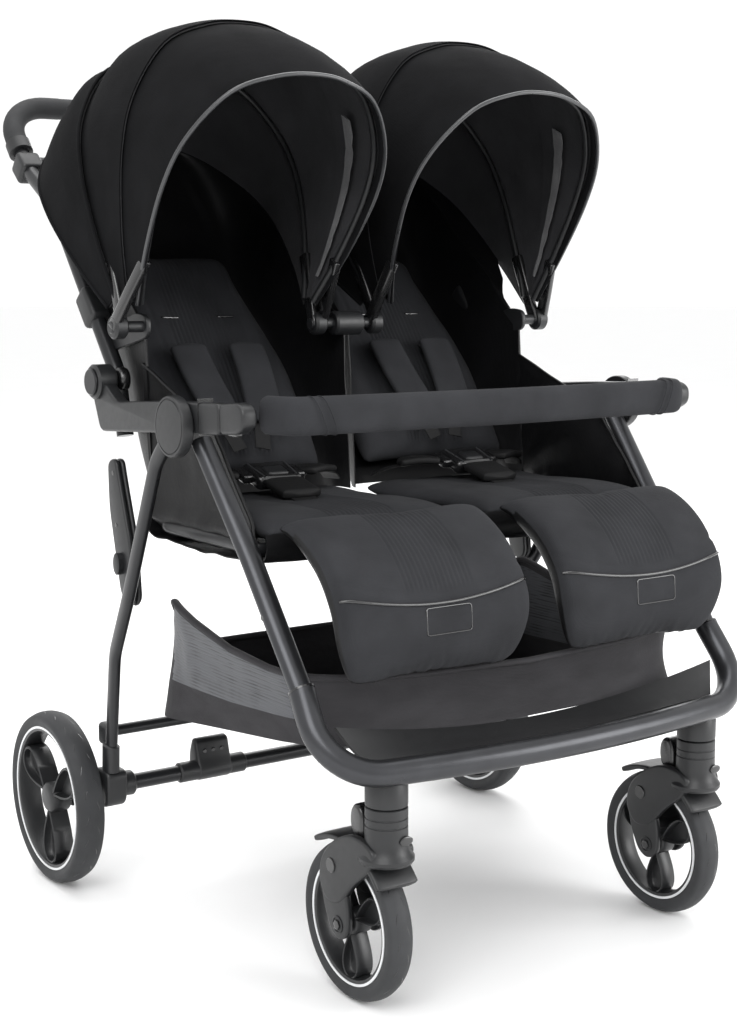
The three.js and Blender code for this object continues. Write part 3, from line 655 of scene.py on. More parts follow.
for name, side in SIDES:
    # the moulded corner between the handle tube and the grip, and a clamp where the bars meet
    corner = [at(side * 300, 374, 988), at(side * 300, *GRIP), at(side * 216, *GRIP)]
    corner = rounded(corner, [0.072], 14)
    sweep(f"handle_corner_{name}", corner, oval(0.0151, sides=26), "grip_foam", "handle_frame", dome=0.002)
    sweep(f"handle_collar_{name}", [at(side * 300, 370, 983), at(side * 300, 382, 997)],
          oval(0.0172, sides=26), "black_plastic", "handle_frame", dome=0.0015)
    block(f"handle_clamp_{name}", at(side * 298, 352, 962), (0.034, 0.034, 0.034), "black_plastic",
          "handle_frame", 0.006, Matrix.Rotation(radians(40), 3, "X"))
    rear = [(347, *LEG_PIVOT), (344, -107, 593), (334, -4, 410), (326, 52, 330), (325, 74, 178)]
    tube(f"rear_leg_tube_{name}", [(side * x, y, z) for x, y, z in rear], [60, 200, 60],
         oval(0.0066, 0.0105, 24, 0.8), "black_tube", "rear_frame", f"rear_leg_{name}")
    # the round cap over the leg's pivot, with a groove inside its edge
    cap = [(0, 340.6), (35.2, 340.6), (36, 342), (36, 352), (35, 354.2), (32.6, 354.6), (32.1, 353.7),
           (31.3, 353.7), (30.8, 354.7), (15, 355.4), (0, 355.5)]
    lathe(f"leg_cap_{name}", [(r, side * x) for r, x in cap], at(0, *LEG_PIVOT), X, "black_plastic",
          "rear_frame", 72, 25)
    cross_bar(f"leg_cap_pin_{name}", 7.4, side * 322, side * 345, *LEG_PIVOT, "black_tube", "rear_frame")
    sweep(f"rear_leg_foot_{name}", [at(side * 325.5, 71, 204), at(side * 325, 74, 170)],
          oval(0.0098, 0.0138, 24, 0.8), "black_plastic", "rear_frame", dome=0.002)

# ---------------------------------------------------------------- rear axle and brake
cross_bar("axle_tube", 10.4, -312, 312, *AXLE_TUBE, "black_tube", "rear_frame", 36)
rear_crossbar = cross_bar("basket_crossbar", 7.4, -317, 317, 96, 216, "black_tube", "rear_frame")
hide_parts("rear_crossbar")
for name, side in SIDES:
    block_outline = side_outline([(60, 170), (98, 170), (188, 130), (186, 100), (66, 122)], 13)
    axle_block = plate(f"axle_block_{name}", block_outline, side * 0.306, side * 0.336, "black_plastic",
                       "rear_frame", 0.004)
    if side < 0:
        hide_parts("rear_axle")
    cross_bar(f"axle_sleeve_{name}", 16.5, side * 290, side * 316, *AXLE_TUBE, "black_plastic", "rear_frame",
              36, 2.5)
    cross_bar(f"stub_axle_{name}", 5.4, side * 334, side * 350, *REAR_AXLE, "ring_silver", "rear_frame")
    cross_bar(f"axle_boss_{name}", 17, side * 334, side * 341.5, *REAR_AXLE, "black_plastic", "rear_frame",
              36, 2)
    block(f"crossbar_end_{name}", at(side * 320, 92, 214), (0.016, 0.030, 0.030), "black_plastic",
          "rear_frame", 0.006)
    cross_bar(f"brake_pin_{name}", 4, side * 297, side * 306, 104, 128, "ring_silver", "rear_frame", 16)

pedal_outline = side_outline(
    [(64, 142), (80, 129), (99, 142), (100, 166), (91, 190), (80, 187), (74, 164)], 9)
pedal = plate("brake_lever", pedal_outline, -0.196, -0.144, "black_plastic", "brake", 0.006)
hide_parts("brake_pedal")
for k, dx in enumerate((-13, 0, 13)):
    dot = [(0, -1), (3.2, -1), (3.2, 0.4), (2.4, 1), (0, 1)]
    lathe(f"pedal_dot_{k + 1}", dot, at(-170 + dx, 76, 172), -Y, "buckle_plastic", "brake", 20)
cross_bar("brake_sleeve", 13.6, -222, -120, *AXLE_TUBE, "black_plastic", "rear_frame", 36, 2)

# ---------------------------------------------------------------- casters
for name, side in SIDES:
    swivel = PIN[f"caster_swivel_{name}"]
    socket = [(0, 0.3), (22.8, 0.3), (23.8, 1.2), (24, 4), (24, 26), (21, 32), (0, 32)]
    fixed = lathe(f"caster_stem_{name}", socket, swivel, Z, "black_plastic", "front_frame", 64)
    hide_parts(f"caster_socket_{name}")
    barrel = [(0, -0.6), (22.6, -0.6), (23.8, -1.6), (24, -3), (24, -11.4), (23.3, -12), (23.3, -12.8)]
    barrel += [(24, -13.4), (24, -20.6), (23.3, -21.2), (23.3, -22), (24, -22.6), (24.3, -40), (25.5, -48)]
    barrel += [(28.8, -53), (31.4, -57), (31.2, -61), (29, -64), (24, -65), (0, -65)]
    fork_body = f"caster_{name}"
    turned = lathe(f"caster_barrel_{name}", barrel, swivel, Z, "black_plastic", fork_body, 64, 30)
    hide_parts(f"caster_fork_{name}")
    button = oval(0.0085, 0.0052, 24)
    spot = swivel + mm(9, -22.6, -36)
    sweep(f"caster_button_{name}", [spot, spot + mm(0, -3.0, 0)], [(v, u) for u, v in button],
          "buckle_plastic", fork_body, reference=Z, dome=0.0008)
    wheel_pin = PIN[f"front_wheel_spin_{name}"]
    centre_x = wheel_pin.x
    cheek = side_outline([(-447, 192), (-428, 202), (-398, 204), (-366, 190), (-340, 164), (-334, 136),
                          (-350, 112), (-378, 116), (-404, 146), (-436, 170)], 15, 6)
    arm_outline = side_outline([(-384, 150), (-352, 160), (-337, 140), (-343, 108), (-358, 80), (-374, 72),
                                (-391, 82), (-393, 108)], 13, 6)
    pivot = PIN[f"front_suspension_{name}"]
    for where in (-1, 1):
        tag = f"{name}_{'in' if where == -side else 'out'}"
        inner, outer = centre_x + where * 0.0178, centre_x + where * 0.0285
        plate(f"fork_cheek_{tag}", cheek, inner, outer, "black_plastic", fork_body, 0.0035)
        plate(f"fork_arm_{tag}", arm_outline, centre_x + where * 0.0182, centre_x + where * 0.0268,
              "black_plastic", f"caster_arm_{name}", 0.0028)
        plug = [(0, 28.2), (8.6, 28.2), (8.6, 29.4), (7.8, 30), (0, 30.1)]
        lathe(f"pivot_plug_{tag}", [(r, where * x) for r, x in plug], Vector((centre_x, pivot.y, pivot.z)), X,
              "buckle_plastic", fork_body, 32)
        recess = [(0, 26.3), (10, 26.3), (10, 27.9), (8.4, 28.4), (7.6, 27.2), (0, 27.2)]
        lathe(f"axle_seat_{tag}", [(r, where * x) for r, x in recess], wheel_pin, X, "black_plastic",
              f"caster_arm_{name}", 36)
        sweep(f"axle_bolt_{tag}", [wheel_pin + X * (where * 0.0262), wheel_pin + X * (where * 0.0292)],
              oval(0.0058, sides=6), "buckle_plastic", f"caster_arm_{name}", reference=Z, dome=0.0006)
    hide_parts(f"caster_arm_{name}")
    # the bridge that arches over the tyre between the cheeks
    arch = []
    for k in range(15):
        angle = radians(62 + k * 5.6)
        arch.append(wheel_pin + (Y * cos(angle) + Z * sin(angle)) * 0.0995)
    sweep(f"fork_bridge_{name}", arch, oval(0.0275, 0.0042, 28, 0.5), "black_plastic", fork_body, dome=0.003)
    lock = PIN[f"swivel_lock_press_{name}"]
    hood_corners = ((-6, -12), (15, -8), (21, 6), (20, 22), (13, 31), (3, 31), (-4, 20))
    hood_outline = [lock + mm(0, y, z) for y, z in hood_corners]
    hood_loop = rounded_loop([(p.y, p.z) for p in hood_outline], 0.009)
    hood = plate(f"swivel_hood_{name}", hood_loop, centre_x - 0.0165, centre_x + 0.0165, "buckle_plastic",
                 f"swivel_lock_{name}", 0.005)
    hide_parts(f"swivel_lock_{name}")

# ---------------------------------------------------------------- arms, locks and bumper ends
for name, side in SIDES:
    beam = side_outline([(8, 659), (-128, 668), (-250, 673), (-250, 637), (-120, 630), (54, 619), (76, 668),
                         (52, 686)], 10)
    arm = plate(f"arm_shell_{name}", beam, side * 0.3205, side * 0.3395, "black_plastic", "front_frame",
                0.004)
    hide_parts(f"arm_{name}")
    cross_bar(f"arm_boss_{name}", 22, side * 318, side * 345, *FOLD_PIVOT, "black_plastic", "front_frame",
              56, 3)
    cross_bar(f"arm_boss_ring_{name}", 17, side * 344, side * 348.5, *FOLD_PIVOT, "black_tube", "front_frame",
              56, 1.5)
    knob = [(0, 296), (8, 296), (14.5, 299), (17, 305), (15.5, 311), (11, 314), (0, 314)]
    lathe(f"fold_knob_{name}", [(r, side * x) for r, x in knob], at(0, 60, 683), X, "buckle_plastic",
          "handle_frame", 40, 60)
    split = side_outline([(-204.5, 675.4), (-203, 675.4), (-203, 633), (-204.5, 633)], 0.3)
    plate(f"arm_split_{name}", split, side * 0.3203, side * 0.3399, "buckle_plastic", "front_frame", 0)
    end = side_outline([(-251, 637.5), (-251, 672.5), (-290, 676), (-303, 668), (-303, 650), (-290, 641)], 8)
    end_piece = plate(f"bumper_plug_{name}", end, side * 0.3195, side * 0.3395, "black_plastic", "bumper",
                      0.004)
    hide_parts(f"bumper_end_{name}")
    press = block(f"bumper_release_{name}", at(side * 330, -270, 641.5), (0.0085, 0.021, 0.009),
                  "buckle_plastic", f"bumper_button_{name}", 0.002)
    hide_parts(f"bumper_button_{name}")
    shell = [(40, 586), (62, 580), (60, 520), (32, 412), (12, 396), (-3, 408), (4, 480), (32, 560)]
    shell = side_outline(shell, 14)
    housing = plate(f"lock_shell_{name}", shell, side * 0.3116, side * 0.3186, "black_plastic", "rear_frame",
                    0.003)
    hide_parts(f"lock_housing_{name}")
    plate(f"lock_cover_{name}", shell, side * 0.3190, side * 0.3265, "black_plastic", "rear_frame", 0.003)
    for k, (y, z) in enumerate(((46, 566), (16, 414), (40, 500))):
        cross_bar(f"lock_screw_{name}_{k + 1}", 3.4, side * 325, side * 327.2, y, z, "buckle_plastic",
                  "rear_frame", 18)
    knob_pin = at(side * 330, 28, 452)
    pull = sweep(f"lock_button_{name}", [knob_pin - X * (side * 0.006), knob_pin + X * (side * 0.0035)],
                 oval(0.014, 0.0085, 28), "black_plastic", f"lock_knob_{name}", reference=Z, dome=0.0015)
    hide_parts(f"lock_knob_{name}")


# ---------------------------------------------------------------- padded pieces
RIB_HALF = 50  # the ribbed band's half width, in millimetres
RIB_PITCH = 6.4


def columns_across(half):
    """Places across a pad from -1 to 1, closer together in the middle, where the ribs are."""
    middle, edge = 34, 11
    found = [-1 + (1 - RIB_HALF / half) * k / edge for k in range(edge)]
    found += [-RIB_HALF / half + 2 * RIB_HALF / half * k / middle for k in range(middle)]
    return found + [RIB_HALF / half + (1 - RIB_HALF / half) * k / edge for k in range(edge + 1)]


PAD_SQUARE = 7.0  # how square a pad's outline is
PAD_EDGE = 1 / 2.2  # how round its edge is


def pad(name, centre_x, front, back, half_width, rows, look, body):
    """A closed pad between two side profiles of (y, z) points, as wide as half_width says along it."""
    fore = spline([Vector(p) for p in front], rows)
    rear = spline([Vector(p) for p in back], rows)
    widest = max(half_width(i / rows) for i in range(rows + 1))
    across = columns_across(widest)
    grids = []
    for face in (1, -1):
        grid = []
        for i in range(rows + 1):
            v = i / rows
            edge_v = max(1 - abs(2 * v - 1) ** PAD_SQUARE, 0) ** PAD_EDGE
            row = []
            for u in across:
                edge = max(1 - abs(u) ** PAD_SQUARE, 0) ** PAD_EDGE * edge_v
                middle = (fore[i] + rear[i]) / 2
                spot = middle + (fore[i] - rear[i]) / 2 * (edge * face)
                row.append(at(centre_x + u * half_width(v), spot.x, spot.y))
            grid.append(row)
        grids.append(grid)
    columns = len(across)
    vertices = [p for grid in grids for row in grid for p in row]
    faces = []
    for layer in (0, 1):
        base = layer * (rows + 1) * columns
        for i in range(rows):
            for k in range(columns - 1):
                a = base + i * columns + k
                quad = (a, a + 1, a + 1 + columns, a + columns)
                faces.append(quad if layer else quad[::-1])
    return mesh_piece(name, vertices, faces, look, body, 80)


PUFF_FRAMES = 20


def puff(piece, cap):
    """Blows a pad up with a cloth simulation, so that its cover pulls in at the seams.
    No point moves further than cap."""
    rest = [v.co.copy() for v in piece.data.vertices]
    cloth = piece.modifiers.new("Cloth", "CLOTH")
    cloth.settings.quality = 4
    cloth.settings.mass = 0.25
    cloth.settings.tension_stiffness = 12
    cloth.settings.compression_stiffness = 6
    cloth.settings.bending_stiffness = 0.4
    cloth.settings.use_pressure = True
    cloth.settings.uniform_pressure_force = 4
    cloth.settings.effector_weights.gravity = 0
    cloth.point_cache.frame_end = PUFF_FRAMES
    for number in range(1, PUFF_FRAMES + 1):
        bpy.context.scene.frame_set(number)
    moved = piece.evaluated_get(bpy.context.evaluated_depsgraph_get())
    blown = [v.co.copy() for v in moved.data.vertices]
    piece.modifiers.remove(cloth)
    bpy.context.scene.frame_set(1)
    for vertex, old, new in zip(piece.data.vertices, rest, blown):
        shift = new - old
        if shift.length > cap:
            shift *= cap / shift.length
        vertex.co = old + shift


def work_over(piece, look, depth_at):
    """One subdivision, and then each point moves along its normal by depth_at(design mm, normal), in mm."""
    modify(piece, "SUBSURF", levels=1, render_levels=1)
    normals = [v.normal.copy() for v in piece.data.vertices]
    for vertex, normal in zip(piece.data.vertices, normals):
        place = vertex.co * 1000
        vertex.co += normal * (depth_at(place.x, place.y + MIDLENGTH, place.z, normal) / 1000)
    return dress(piece, look, None, 80)


def onto(piece, points, direction, lift=0.0):
    """The points carried along direction onto the piece's surface, and lifted off it."""
    found = []
    for point in points:
        hit, spot, _, _ = piece.ray_cast(point - direction * 0.2, direction)
        if hit:
            found.append(spot - direction * lift)
    return found


def ribs(across):
    """The depth of the sewn ribs at a distance from the pad's middle line."""
    if abs(across) > RIB_HALF - 4:
        return 0.0
    return -1.3 * (0.5 + 0.5 * cos(2 * pi * across / RIB_PITCH)) ** 2


def strap(name, points, width, thickness, look, body, count=28, reference=X, ends=0.0):
    """A flat strap or narrow pad through the points."""
    taper = (lambda t: min(1, (max(0.04, sin(pi * t)) * ends) ** 0.5)) if ends else None
    section = oval(width / 2000, thickness / 2000, 20, 0.5)
    return sweep(name, spline(points, count), section, look, body, reference, taper=taper, sharp=60)


def on_back(x, up, lift):
    """A point of the backrest: up along it from the seat, and lifted forward off its back face."""
    c, s = cos(BACKREST_LEAN), sin(BACKREST_LEAN)
    return at(x, BACK_HINGE[0] + up * c - lift * s, BACK_HINGE[1] + up * s + lift * c)


def back_profile(lift, swell=0.0):
    c, s = cos(BACKREST_LEAN), sin(BACKREST_LEAN)
    points = []
    for up in (0, 60, 120, 180, 240, 300, 350):
        here = lift + swell * sin(pi * (up + 40) / 430)
        points.append((BACK_HINGE[0] + up * c - here * s, BACK_HINGE[1] + up * s + here * c))
    return points


def corner_cut(v, share):
    """How much of a rounded corner is cut away at v, from 1 at the end of a pad to 0 at share from it."""
    inside = min(1.0, max(0.0, (share - v) / share))
    return 1 - (1 - inside * inside) ** 0.5


def make_calf_rest(name, side):
    x = side * SEAT_X
    front = [(-291, 537), (-315, 543), (-352, 529), (-388, 503), (-414, 468), (-424, 434), (-420, 400),
             (-406, 368)]
    back = [(-288, 519), (-306, 512), (-330, 497), (-356, 478), (-376, 452), (-386, 424), (-388, 398),
            (-389, 370)]

    def half_width(v):
        return 139 - 12 * corner_cut(v, 0.07) - 46 * corner_cut(1 - v, 0.34)

    piece = pad(f"calf_pad_{name}", x, front, back, half_width, 44, "liner_cloth", f"calf_rest_{name}")
    puff(piece, 0.007)

    def depth_at(px, py, pz, normal):
        across = px - x
        outward = smooth((-normal.y * 0.9 + normal.z * 0.5 - 0.3) / 0.4)
        dip = 492 - 24 * (1 - (across / 140) ** 2)
        depth = 0.0
        if pz > dip:
            depth += ribs(across) * outward * smooth((pz - dip) / 6)
        depth -= 1.6 * outward * max(0.0, 1 - abs(pz - dip) / 5)
        low = smooth((404 - pz) / 34)
        depth += low * 1.5 * noise.noise(Vector((across / 9, pz / 30, side * 3.0)))
        return depth + 0.9 * noise.noise(Vector((across / 38, pz / 30, side * 5.0)))

    work_over(piece, "liner_cloth", depth_at)
    piece.data.materials.append(LOOKS["side_cloth"].material)
    for face in piece.data.polygons:
        if face.normal.y * 0.88 - face.normal.z * 0.47 > -0.12:
            face.material_index = 1
    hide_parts(f"calf_rest_{name}")
    toward = Vector((0, 0.88, -0.47))
    dip = [at(x + across, -420, 497 - 24 * (1 - (across / 140) ** 2) - 20) for across in range(-134, 135, 6)]
    line = onto(piece, dip, toward, 0.0004)
    if len(line) > 8:
        sweep(f"calf_piping_{name}", line, oval(0.0019, sides=10), "buckle_plastic", f"calf_rest_{name}",
              reference=Z, dome=0.001)
    patch = [Vector((u, v)) for u, v in rounded_loop([(-31, -15), (31, -15), (31, 15), (-31, 15)], 4, 5)]
    patch_line = onto(piece, [at(x + 6 + p.x, -450, 437 + p.y) for p in patch], Y, 0.0002)
    if len(patch_line) == len(patch):
        sweep(f"calf_patch_{name}", patch_line, oval(0.0009, sides=8), "buckle_plastic", f"calf_rest_{name}",
              reference=Y, closed=True)


def make_backrest(name, side):
    x = side * SEAT_X

    def half_width(v):
        wide = 129 - 39 * smooth((v - 0.36) / 0.6)
        return wide - 30 * corner_cut(1 - v, 0.09) - 10 * corner_cut(v, 0.06)

    body = f"backrest_{name}"
    piece = pad(f"back_liner_{name}", x, back_profile(28, 5), back_profile(1), half_width, 52, "liner_cloth",
                body)
    puff(piece, 0.006)

    def depth_at(px, py, pz, normal):
        across = px - x
        up = (pz - BACK_HINGE[1]) / sin(BACKREST_LEAN)
        forward = smooth((-normal.y - 0.3) / 0.3)
        depth = ribs(across) * forward * smooth((up - 40) / 10)
        for seam in (-1, 1):
            reach = abs(across - seam * (56 + 0.04 * up))
            depth -= 1.3 * forward * max(0.0, 1 - reach / 4) * smooth((up - 30) / 20)
        return depth + 1.2 * noise.noise(Vector((across / 45, pz / 40, side * 7.0)))

    work_over(piece, "liner_cloth", depth_at)
    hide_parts(f"backrest_{name}")
    for level, up in enumerate((232, 176)):
        for end in (-1, 1):
            ends = [on_back(x + end * (30 + 24 * k / 8), up, 60) for k in range(9)]
            inward = Vector((0, sin(BACKREST_LEAN), -cos(BACKREST_LEAN)))
            slit = onto(piece, ends, inward, 0.0002)
            tag = f"{name}_{level + 1}_{LETTERS[end]}"
            if len(slit) > 3:
                sweep(f"harness_slot_{tag}", slit, oval(0.0014, 0.0024, 8), "buckle_plastic", body,
                      reference=Z, dome=0.0008)


# (y, z) along the middle of the cloth under a seat, from the front rail to the rear one
SLING = [(-280, 526), (-282, 506), (-264, 491), (-200, 489), (-130, 487), (-60, 489), (0, 492), (8, 512)]


def make_seat(name, side):
    x = side * SEAT_X
    top = [(-284, 531), (-262, 537), (-200, 539), (-130, 536), (-60, 535), (-6, 539)]

    def seat_half(v):
        return 141 - 24 * corner_cut(v, 0.1) - 12 * corner_cut(1 - v, 0.05)

    bottom = [(-280, 517), (-262, 515), (-200, 515), (-130, 515), (-60, 515), (-6, 518)]
    piece = pad(f"seat_cushion_{name}", x, top, bottom, seat_half, 40, "liner_cloth", "front_frame")
    puff(piece, 0.004)

    def depth_at(px, py, pz, normal):
        across = px - x
        upward = smooth((normal.z - 0.3) / 0.4)
        return ribs(across) * upward + 0.8 * noise.noise(Vector((across / 40, py / 40, side * 9.0)))

    work_over(piece, "liner_cloth", depth_at)
    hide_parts(f"seat_pad_{name}")
    profile = spline([Vector(p) for p in SLING], 40)
    grid = []
    for point in profile:
        row = []
        for k in range(31):
            across = k / 30
            sag = 4 * sin(pi * across) * smooth((506 - point.y) / 14)
            hem = 2.5 * noise.noise(Vector((across * 8, point.x / 30, side * 3.0)))
            row.append(at(side * (8 + 290 * across), point.x, point.y - sag + hem))
        grid.append(row)
    sling = sheet_grid(f"seat_sling_{name}", grid, 0.0016, "side_cloth", "front_frame")


def make_harness(name, side):
    x = side * SEAT_X
    body = f"backrest_{name}"
    for end in (-1, 1):
        tag = f"{name}_{LETTERS[end]}"
        route = [(42, 178, 30), (43, 168, 44), (43, 140, 50), (38, 96, 54), (27, 52, 56), (17, 14, 54)]
        line = [on_back(x + end * dx, up, lift) for dx, up, lift in route]
        strap(f"shoulder_strap_{tag}", line, 22, 2.4, "webbing", body, 36)
        cover = [(44, 176, 58), (43, 150, 60), (40, 118, 62), (35, 84, 64), (29, 48, 64)]
        line = [on_back(x + end * dx, up, lift) for dx, up, lift in cover]
        shield = strap(f"shoulder_pad_{tag}", line, 52, 10, "liner_cloth", body, 44, ends=4.5)
        waist = [at(x + end * 28, -58, 558), at(x + end * 62, -50, 562), at(x + end * 104, -30, 556),
                 at(x + end * 124, -12, 546)]
        strap(f"waist_strap_{tag}", waist, 24, 2.4, "webbing", "front_frame", 24, reference=Y)
        hip = [at(x + end * 46, -56, 564), at(x + end * 72, -48, 566), at(x + end * 98, -34, 562)]
        hip_pad = strap(f"hip_pad_{tag}", hip, 44, 11, "webbing", "front_frame", 24, reference=Y, ends=2.4)
    tilt = Matrix.Rotation(0.32, 3, "X")
    centre = at(x, -62, 562)

    def on_buckle(dx, dy, dz):
        return centre + tilt @ mm(dx, dy, dz)

    case = block(f"buckle_case_{name}", centre, (0.066, 0.05, 0.019), "buckle_plastic", "front_frame",
                 0.007, tilt)
    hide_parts(f"buckle_{name}")
    block(f"buckle_button_{name}", on_buckle(0, -6, 9), (0.030, 0.022, 0.006), "black_plastic", "front_frame",
          0.003, tilt)
    for end in (-1, 1):
        tag = f"{name}_{LETTERS[end]}"
        block(f"buckle_tongue_{tag}", on_buckle(end * 37, 6, 0), (0.018, 0.03, 0.011), "buckle_plastic",
              "front_frame", 0.003, tilt)
        # painted highlight: lighter glossy lines along the sloping top edges of the buckle
        sweep(f"buckle_edge_highlight_{tag}", [on_buckle(end * 24, -22, 9.4), on_buckle(end * 27, 18, 9.4)],
              oval(0.0012, sides=8), "piping", "front_frame", reference=Z)
    crotch = [at(x, y, z) for y, z in ((-84, 556), (-104, 549), (-130, 543), (-152, 538))]
    strap(f"crotch_strap_{name}", crotch, 36, 3, "webbing", "front_frame", 20)
    middle = [at(x, y, z) for y, z in ((-88, 558), (-110, 552), (-140, 545))]
    cover = strap(f"crotch_pad_{name}", middle, 56, 13, "webbing", "front_frame", 24, ends=2.6)


# ---------------------------------------------------------------- canopies
INNER_ARCH = [(-128, 34), (-152, 110), (-166, 200), (-153, 268), (-108, 330), (-50, 355), (0, 361)]
OUTER_ARCH = [(56, 355), (118, 330), (163, 268), (178, 200), (176, 110), (166, 34)]
ARCH_TOP, ARCH_HALF = 361, 171
ARCH_STEPS = 72
ARCH_LINE = spline([Vector(p) for p in INNER_ARCH + OUTER_ARCH], ARCH_STEPS)


def canopy_scale(angle):
    """How wide and how high the canopy's arch is at an angle above the line to the rear."""
    along = (angle - CANOPY_BACK) / (CANOPY_RIM - CANOPY_BACK)
    wide = (169 - 8 * along) / ARCH_HALF
    high = (403 - 40 * along) / ARCH_TOP
    valley = 0.03 * 2.718 ** (-(((angle - CANOPY_SEAM) / 4.5) ** 2))
    swell = 0.014 * sin(pi * (angle - CANOPY_SEAM) / (CANOPY_RIM - CANOPY_SEAM)) if angle > CANOPY_SEAM else 0
    if angle < CANOPY_SEAM:
        swell = 0.012 * sin(pi * (angle - CANOPY_BACK) / (CANOPY_SEAM - CANOPY_BACK))
    return wide * (1 - 0.4 * valley), high * (1 - valley + swell)


def canopy_point(side, index, angle, inset=0.0):
    """A point of the canopy: index runs along the arch, angle turns about the pivots, inset goes inwards."""
    wide, high = canopy_scale(angle)
    across, height = ARCH_LINE[index]
    across *= wide * (1 - inset / ARCH_HALF)
    height *= high * (1 - inset / ARCH_TOP)
    turn = radians(angle)
    y, z = CANOPY_PIVOT
    return at(side * (CANOPY_X + across), y + height * cos(turn), z + height * sin(turn))


def canopy_line(side, angle, inset):
    return [canopy_point(side, i, angle, inset) for i in range(ARCH_STEPS + 1)]


HOOP_ANGLE = CANOPY_SEAM - 0.7
LAYER = 5  # each panel of a canopy lies this far inside the one behind it, and slides into it


def canopy_panel(name, side, label, low, high, layer, body, node):
    """One section of a canopy from a low angle to a high one: its cloth and its lining."""
    rows = 16
    grid = []
    middle = at(side * CANOPY_X, *CANOPY_PIVOT)
    for i in range(rows + 1):
        angle = low + (high - low) * i / rows
        row = canopy_line(side, angle, LAYER * layer)
        rise = sin(pi * i / rows)
        for k, point in enumerate(row):
            toward = (middle - point).normalized()
            near_pivot = 1 - smooth(min(k, ARCH_STEPS - k) / 20)
            fold = abs(wrinkle(point, 0.035, 1.0, side)) * (0.0012 + 0.004 * near_pivot) * rise
            row[k] = point + toward * (fold + 0.0004)
        grid.append(row)
    piece = sheet_grid(f"canopy_{label}_cloth_{name}", grid, 0.0012, "canopy_cloth", body)
    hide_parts(node)
    lining_grid = [[p + (middle - p).normalized() * 0.0026 for p in row] for row in grid]
    lining = sheet_grid(f"canopy_{label}_lining_{name}", lining_grid, 0.0006, "canopy_lining", body)


def make_canopy(name, side):
    frame_body, middle_body, front_body = "handle_frame", f"canopy_middle_{name}", f"canopy_front_{name}"
    hoop = canopy_line(side, 119, 7 + 2 * LAYER)
    bow = sweep(f"canopy_hoop_{name}", hoop, oval(0.0036, 0.0046, 14), "black_plastic", front_body)
    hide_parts(f"canopy_bow_{name}")
    canopy_panel(name, side, "rear", CANOPY_BACK, CANOPY_SEAM, 0, frame_body, f"canopy_rear_{name}")
    canopy_panel(name, side, "middle", CANOPY_SEAM - 1, CANOPY_MID, 1, middle_body, f"canopy_middle_{name}")
    canopy_panel(name, side, "front", CANOPY_MID - 1, CANOPY_RIM, 2, front_body, f"canopy_front_{name}")
    for label, angle, inset, section, look, body, dome in (
        ("piping", CANOPY_RIM + 0.3, 0.5 + 2 * LAYER, oval(0.0026, sides=12), "piping", front_body, 0.002),
        ("binding", CANOPY_RIM - 1.2, 3 + 2 * LAYER, oval(0.0022, 0.006, 12), "canopy_cloth", front_body, 0),
        ("seam", CANOPY_SEAM, -0.6, oval(0.0022, 0.003, 12), "canopy_cloth", frame_body, 0.001),
        ("rear_hem", CANOPY_BACK, 0, oval(0.0026, sides=12), "canopy_cloth", frame_body, 0.001),
        ("rear_hoop", HOOP_ANGLE, 7 + LAYER, oval(0.004, sides=12), "black_plastic", middle_body, 0),
    ):
        sweep(f"canopy_{label}_{name}", canopy_line(side, angle, inset), section, look, body, dome=dome)
    for where, first, last in (("in", 3, 19), ("out", 53, 69)):
        grid = []
        for i in range(first, last + 1):
            row = []
            for k in range(5):
                crease = 2.0 * noise.noise(Vector((i * 0.9, k * 0.5, side * 2.0)))
                row.append(canopy_point(side, i, 104 + k * 1.1, 13 + 2 * LAYER + crease))
            grid.append(row)
        ribbon = sheet_grid(f"canopy_ribbon_{name}_{where}", grid, 0.0009, "grey_ribbon", front_body)
    # the clips that take the hoops' ends, and the pivots that they turn on
    for where, end, x in (("in", 0, side * 45), ("out", ARCH_STEPS, side * 336)):
        outward = side if end else -side
        for label, angle, inset, body in (
            ("front", 119, 7 + 2 * LAYER, front_body),
            ("rear", HOOP_ANGLE, 7 + LAYER, middle_body),
        ):
            low = at(x, *CANOPY_PIVOT)
            high = canopy_point(side, end + (-5 if end else 5), angle, inset)
            shift = X * (0.006 if label == "front" else -0.006) * outward
            route = [low + shift, low.lerp(high, 0.5) + shift * 0.6, high]
            sweep(f"canopy_clip_{label}_{name}_{where}", route, oval(0.0055, 0.0095, 18, 0.6),
                  "buckle_plastic", body, dome=0.002)
        cross_bar(f"canopy_pivot_{name}_{where}", 15, x - 9, x + 9, *CANOPY_PIVOT, "black_plastic",
                  "handle_frame", 44, 3)
        cross_bar(f"canopy_pivot_cap_{name}_{where}", 8.5, x - 11, x + 11, *CANOPY_PIVOT, "black_tube",
                  "handle_frame", 36, 2)
    near, far = sorted((side * 297, side * 330))
    cross_bar(f"canopy_pin_{name}", 7, near, far, *CANOPY_PIVOT, "black_plastic", "handle_frame", 36, 1)
    bracket = side_outline([(-10, 738), (-10, 764), (20, 768), (104, 748), (96, 716)], 12)
    plate(f"canopy_bracket_{name}", bracket, side * 0.2965, side * 0.3035, "black_plastic", "handle_frame",
          0.002)
    clamp = at(side * 306.5, 66, 690) * 0.62 + at(side * 306, 246, 908) * 0.38
    block(f"tube_clamp_{name}", clamp, (0.03, 0.034, 0.05), "black_plastic", "handle_frame", 0.007,
          Matrix.Rotation(radians(-40), 3, "X"))


TUB_CENTRE = 151
TUB_SPINE = spline([Vector((157, 717)), Vector((238, 828)), Vector((272, 900)), Vector((311, 1004))], 60)


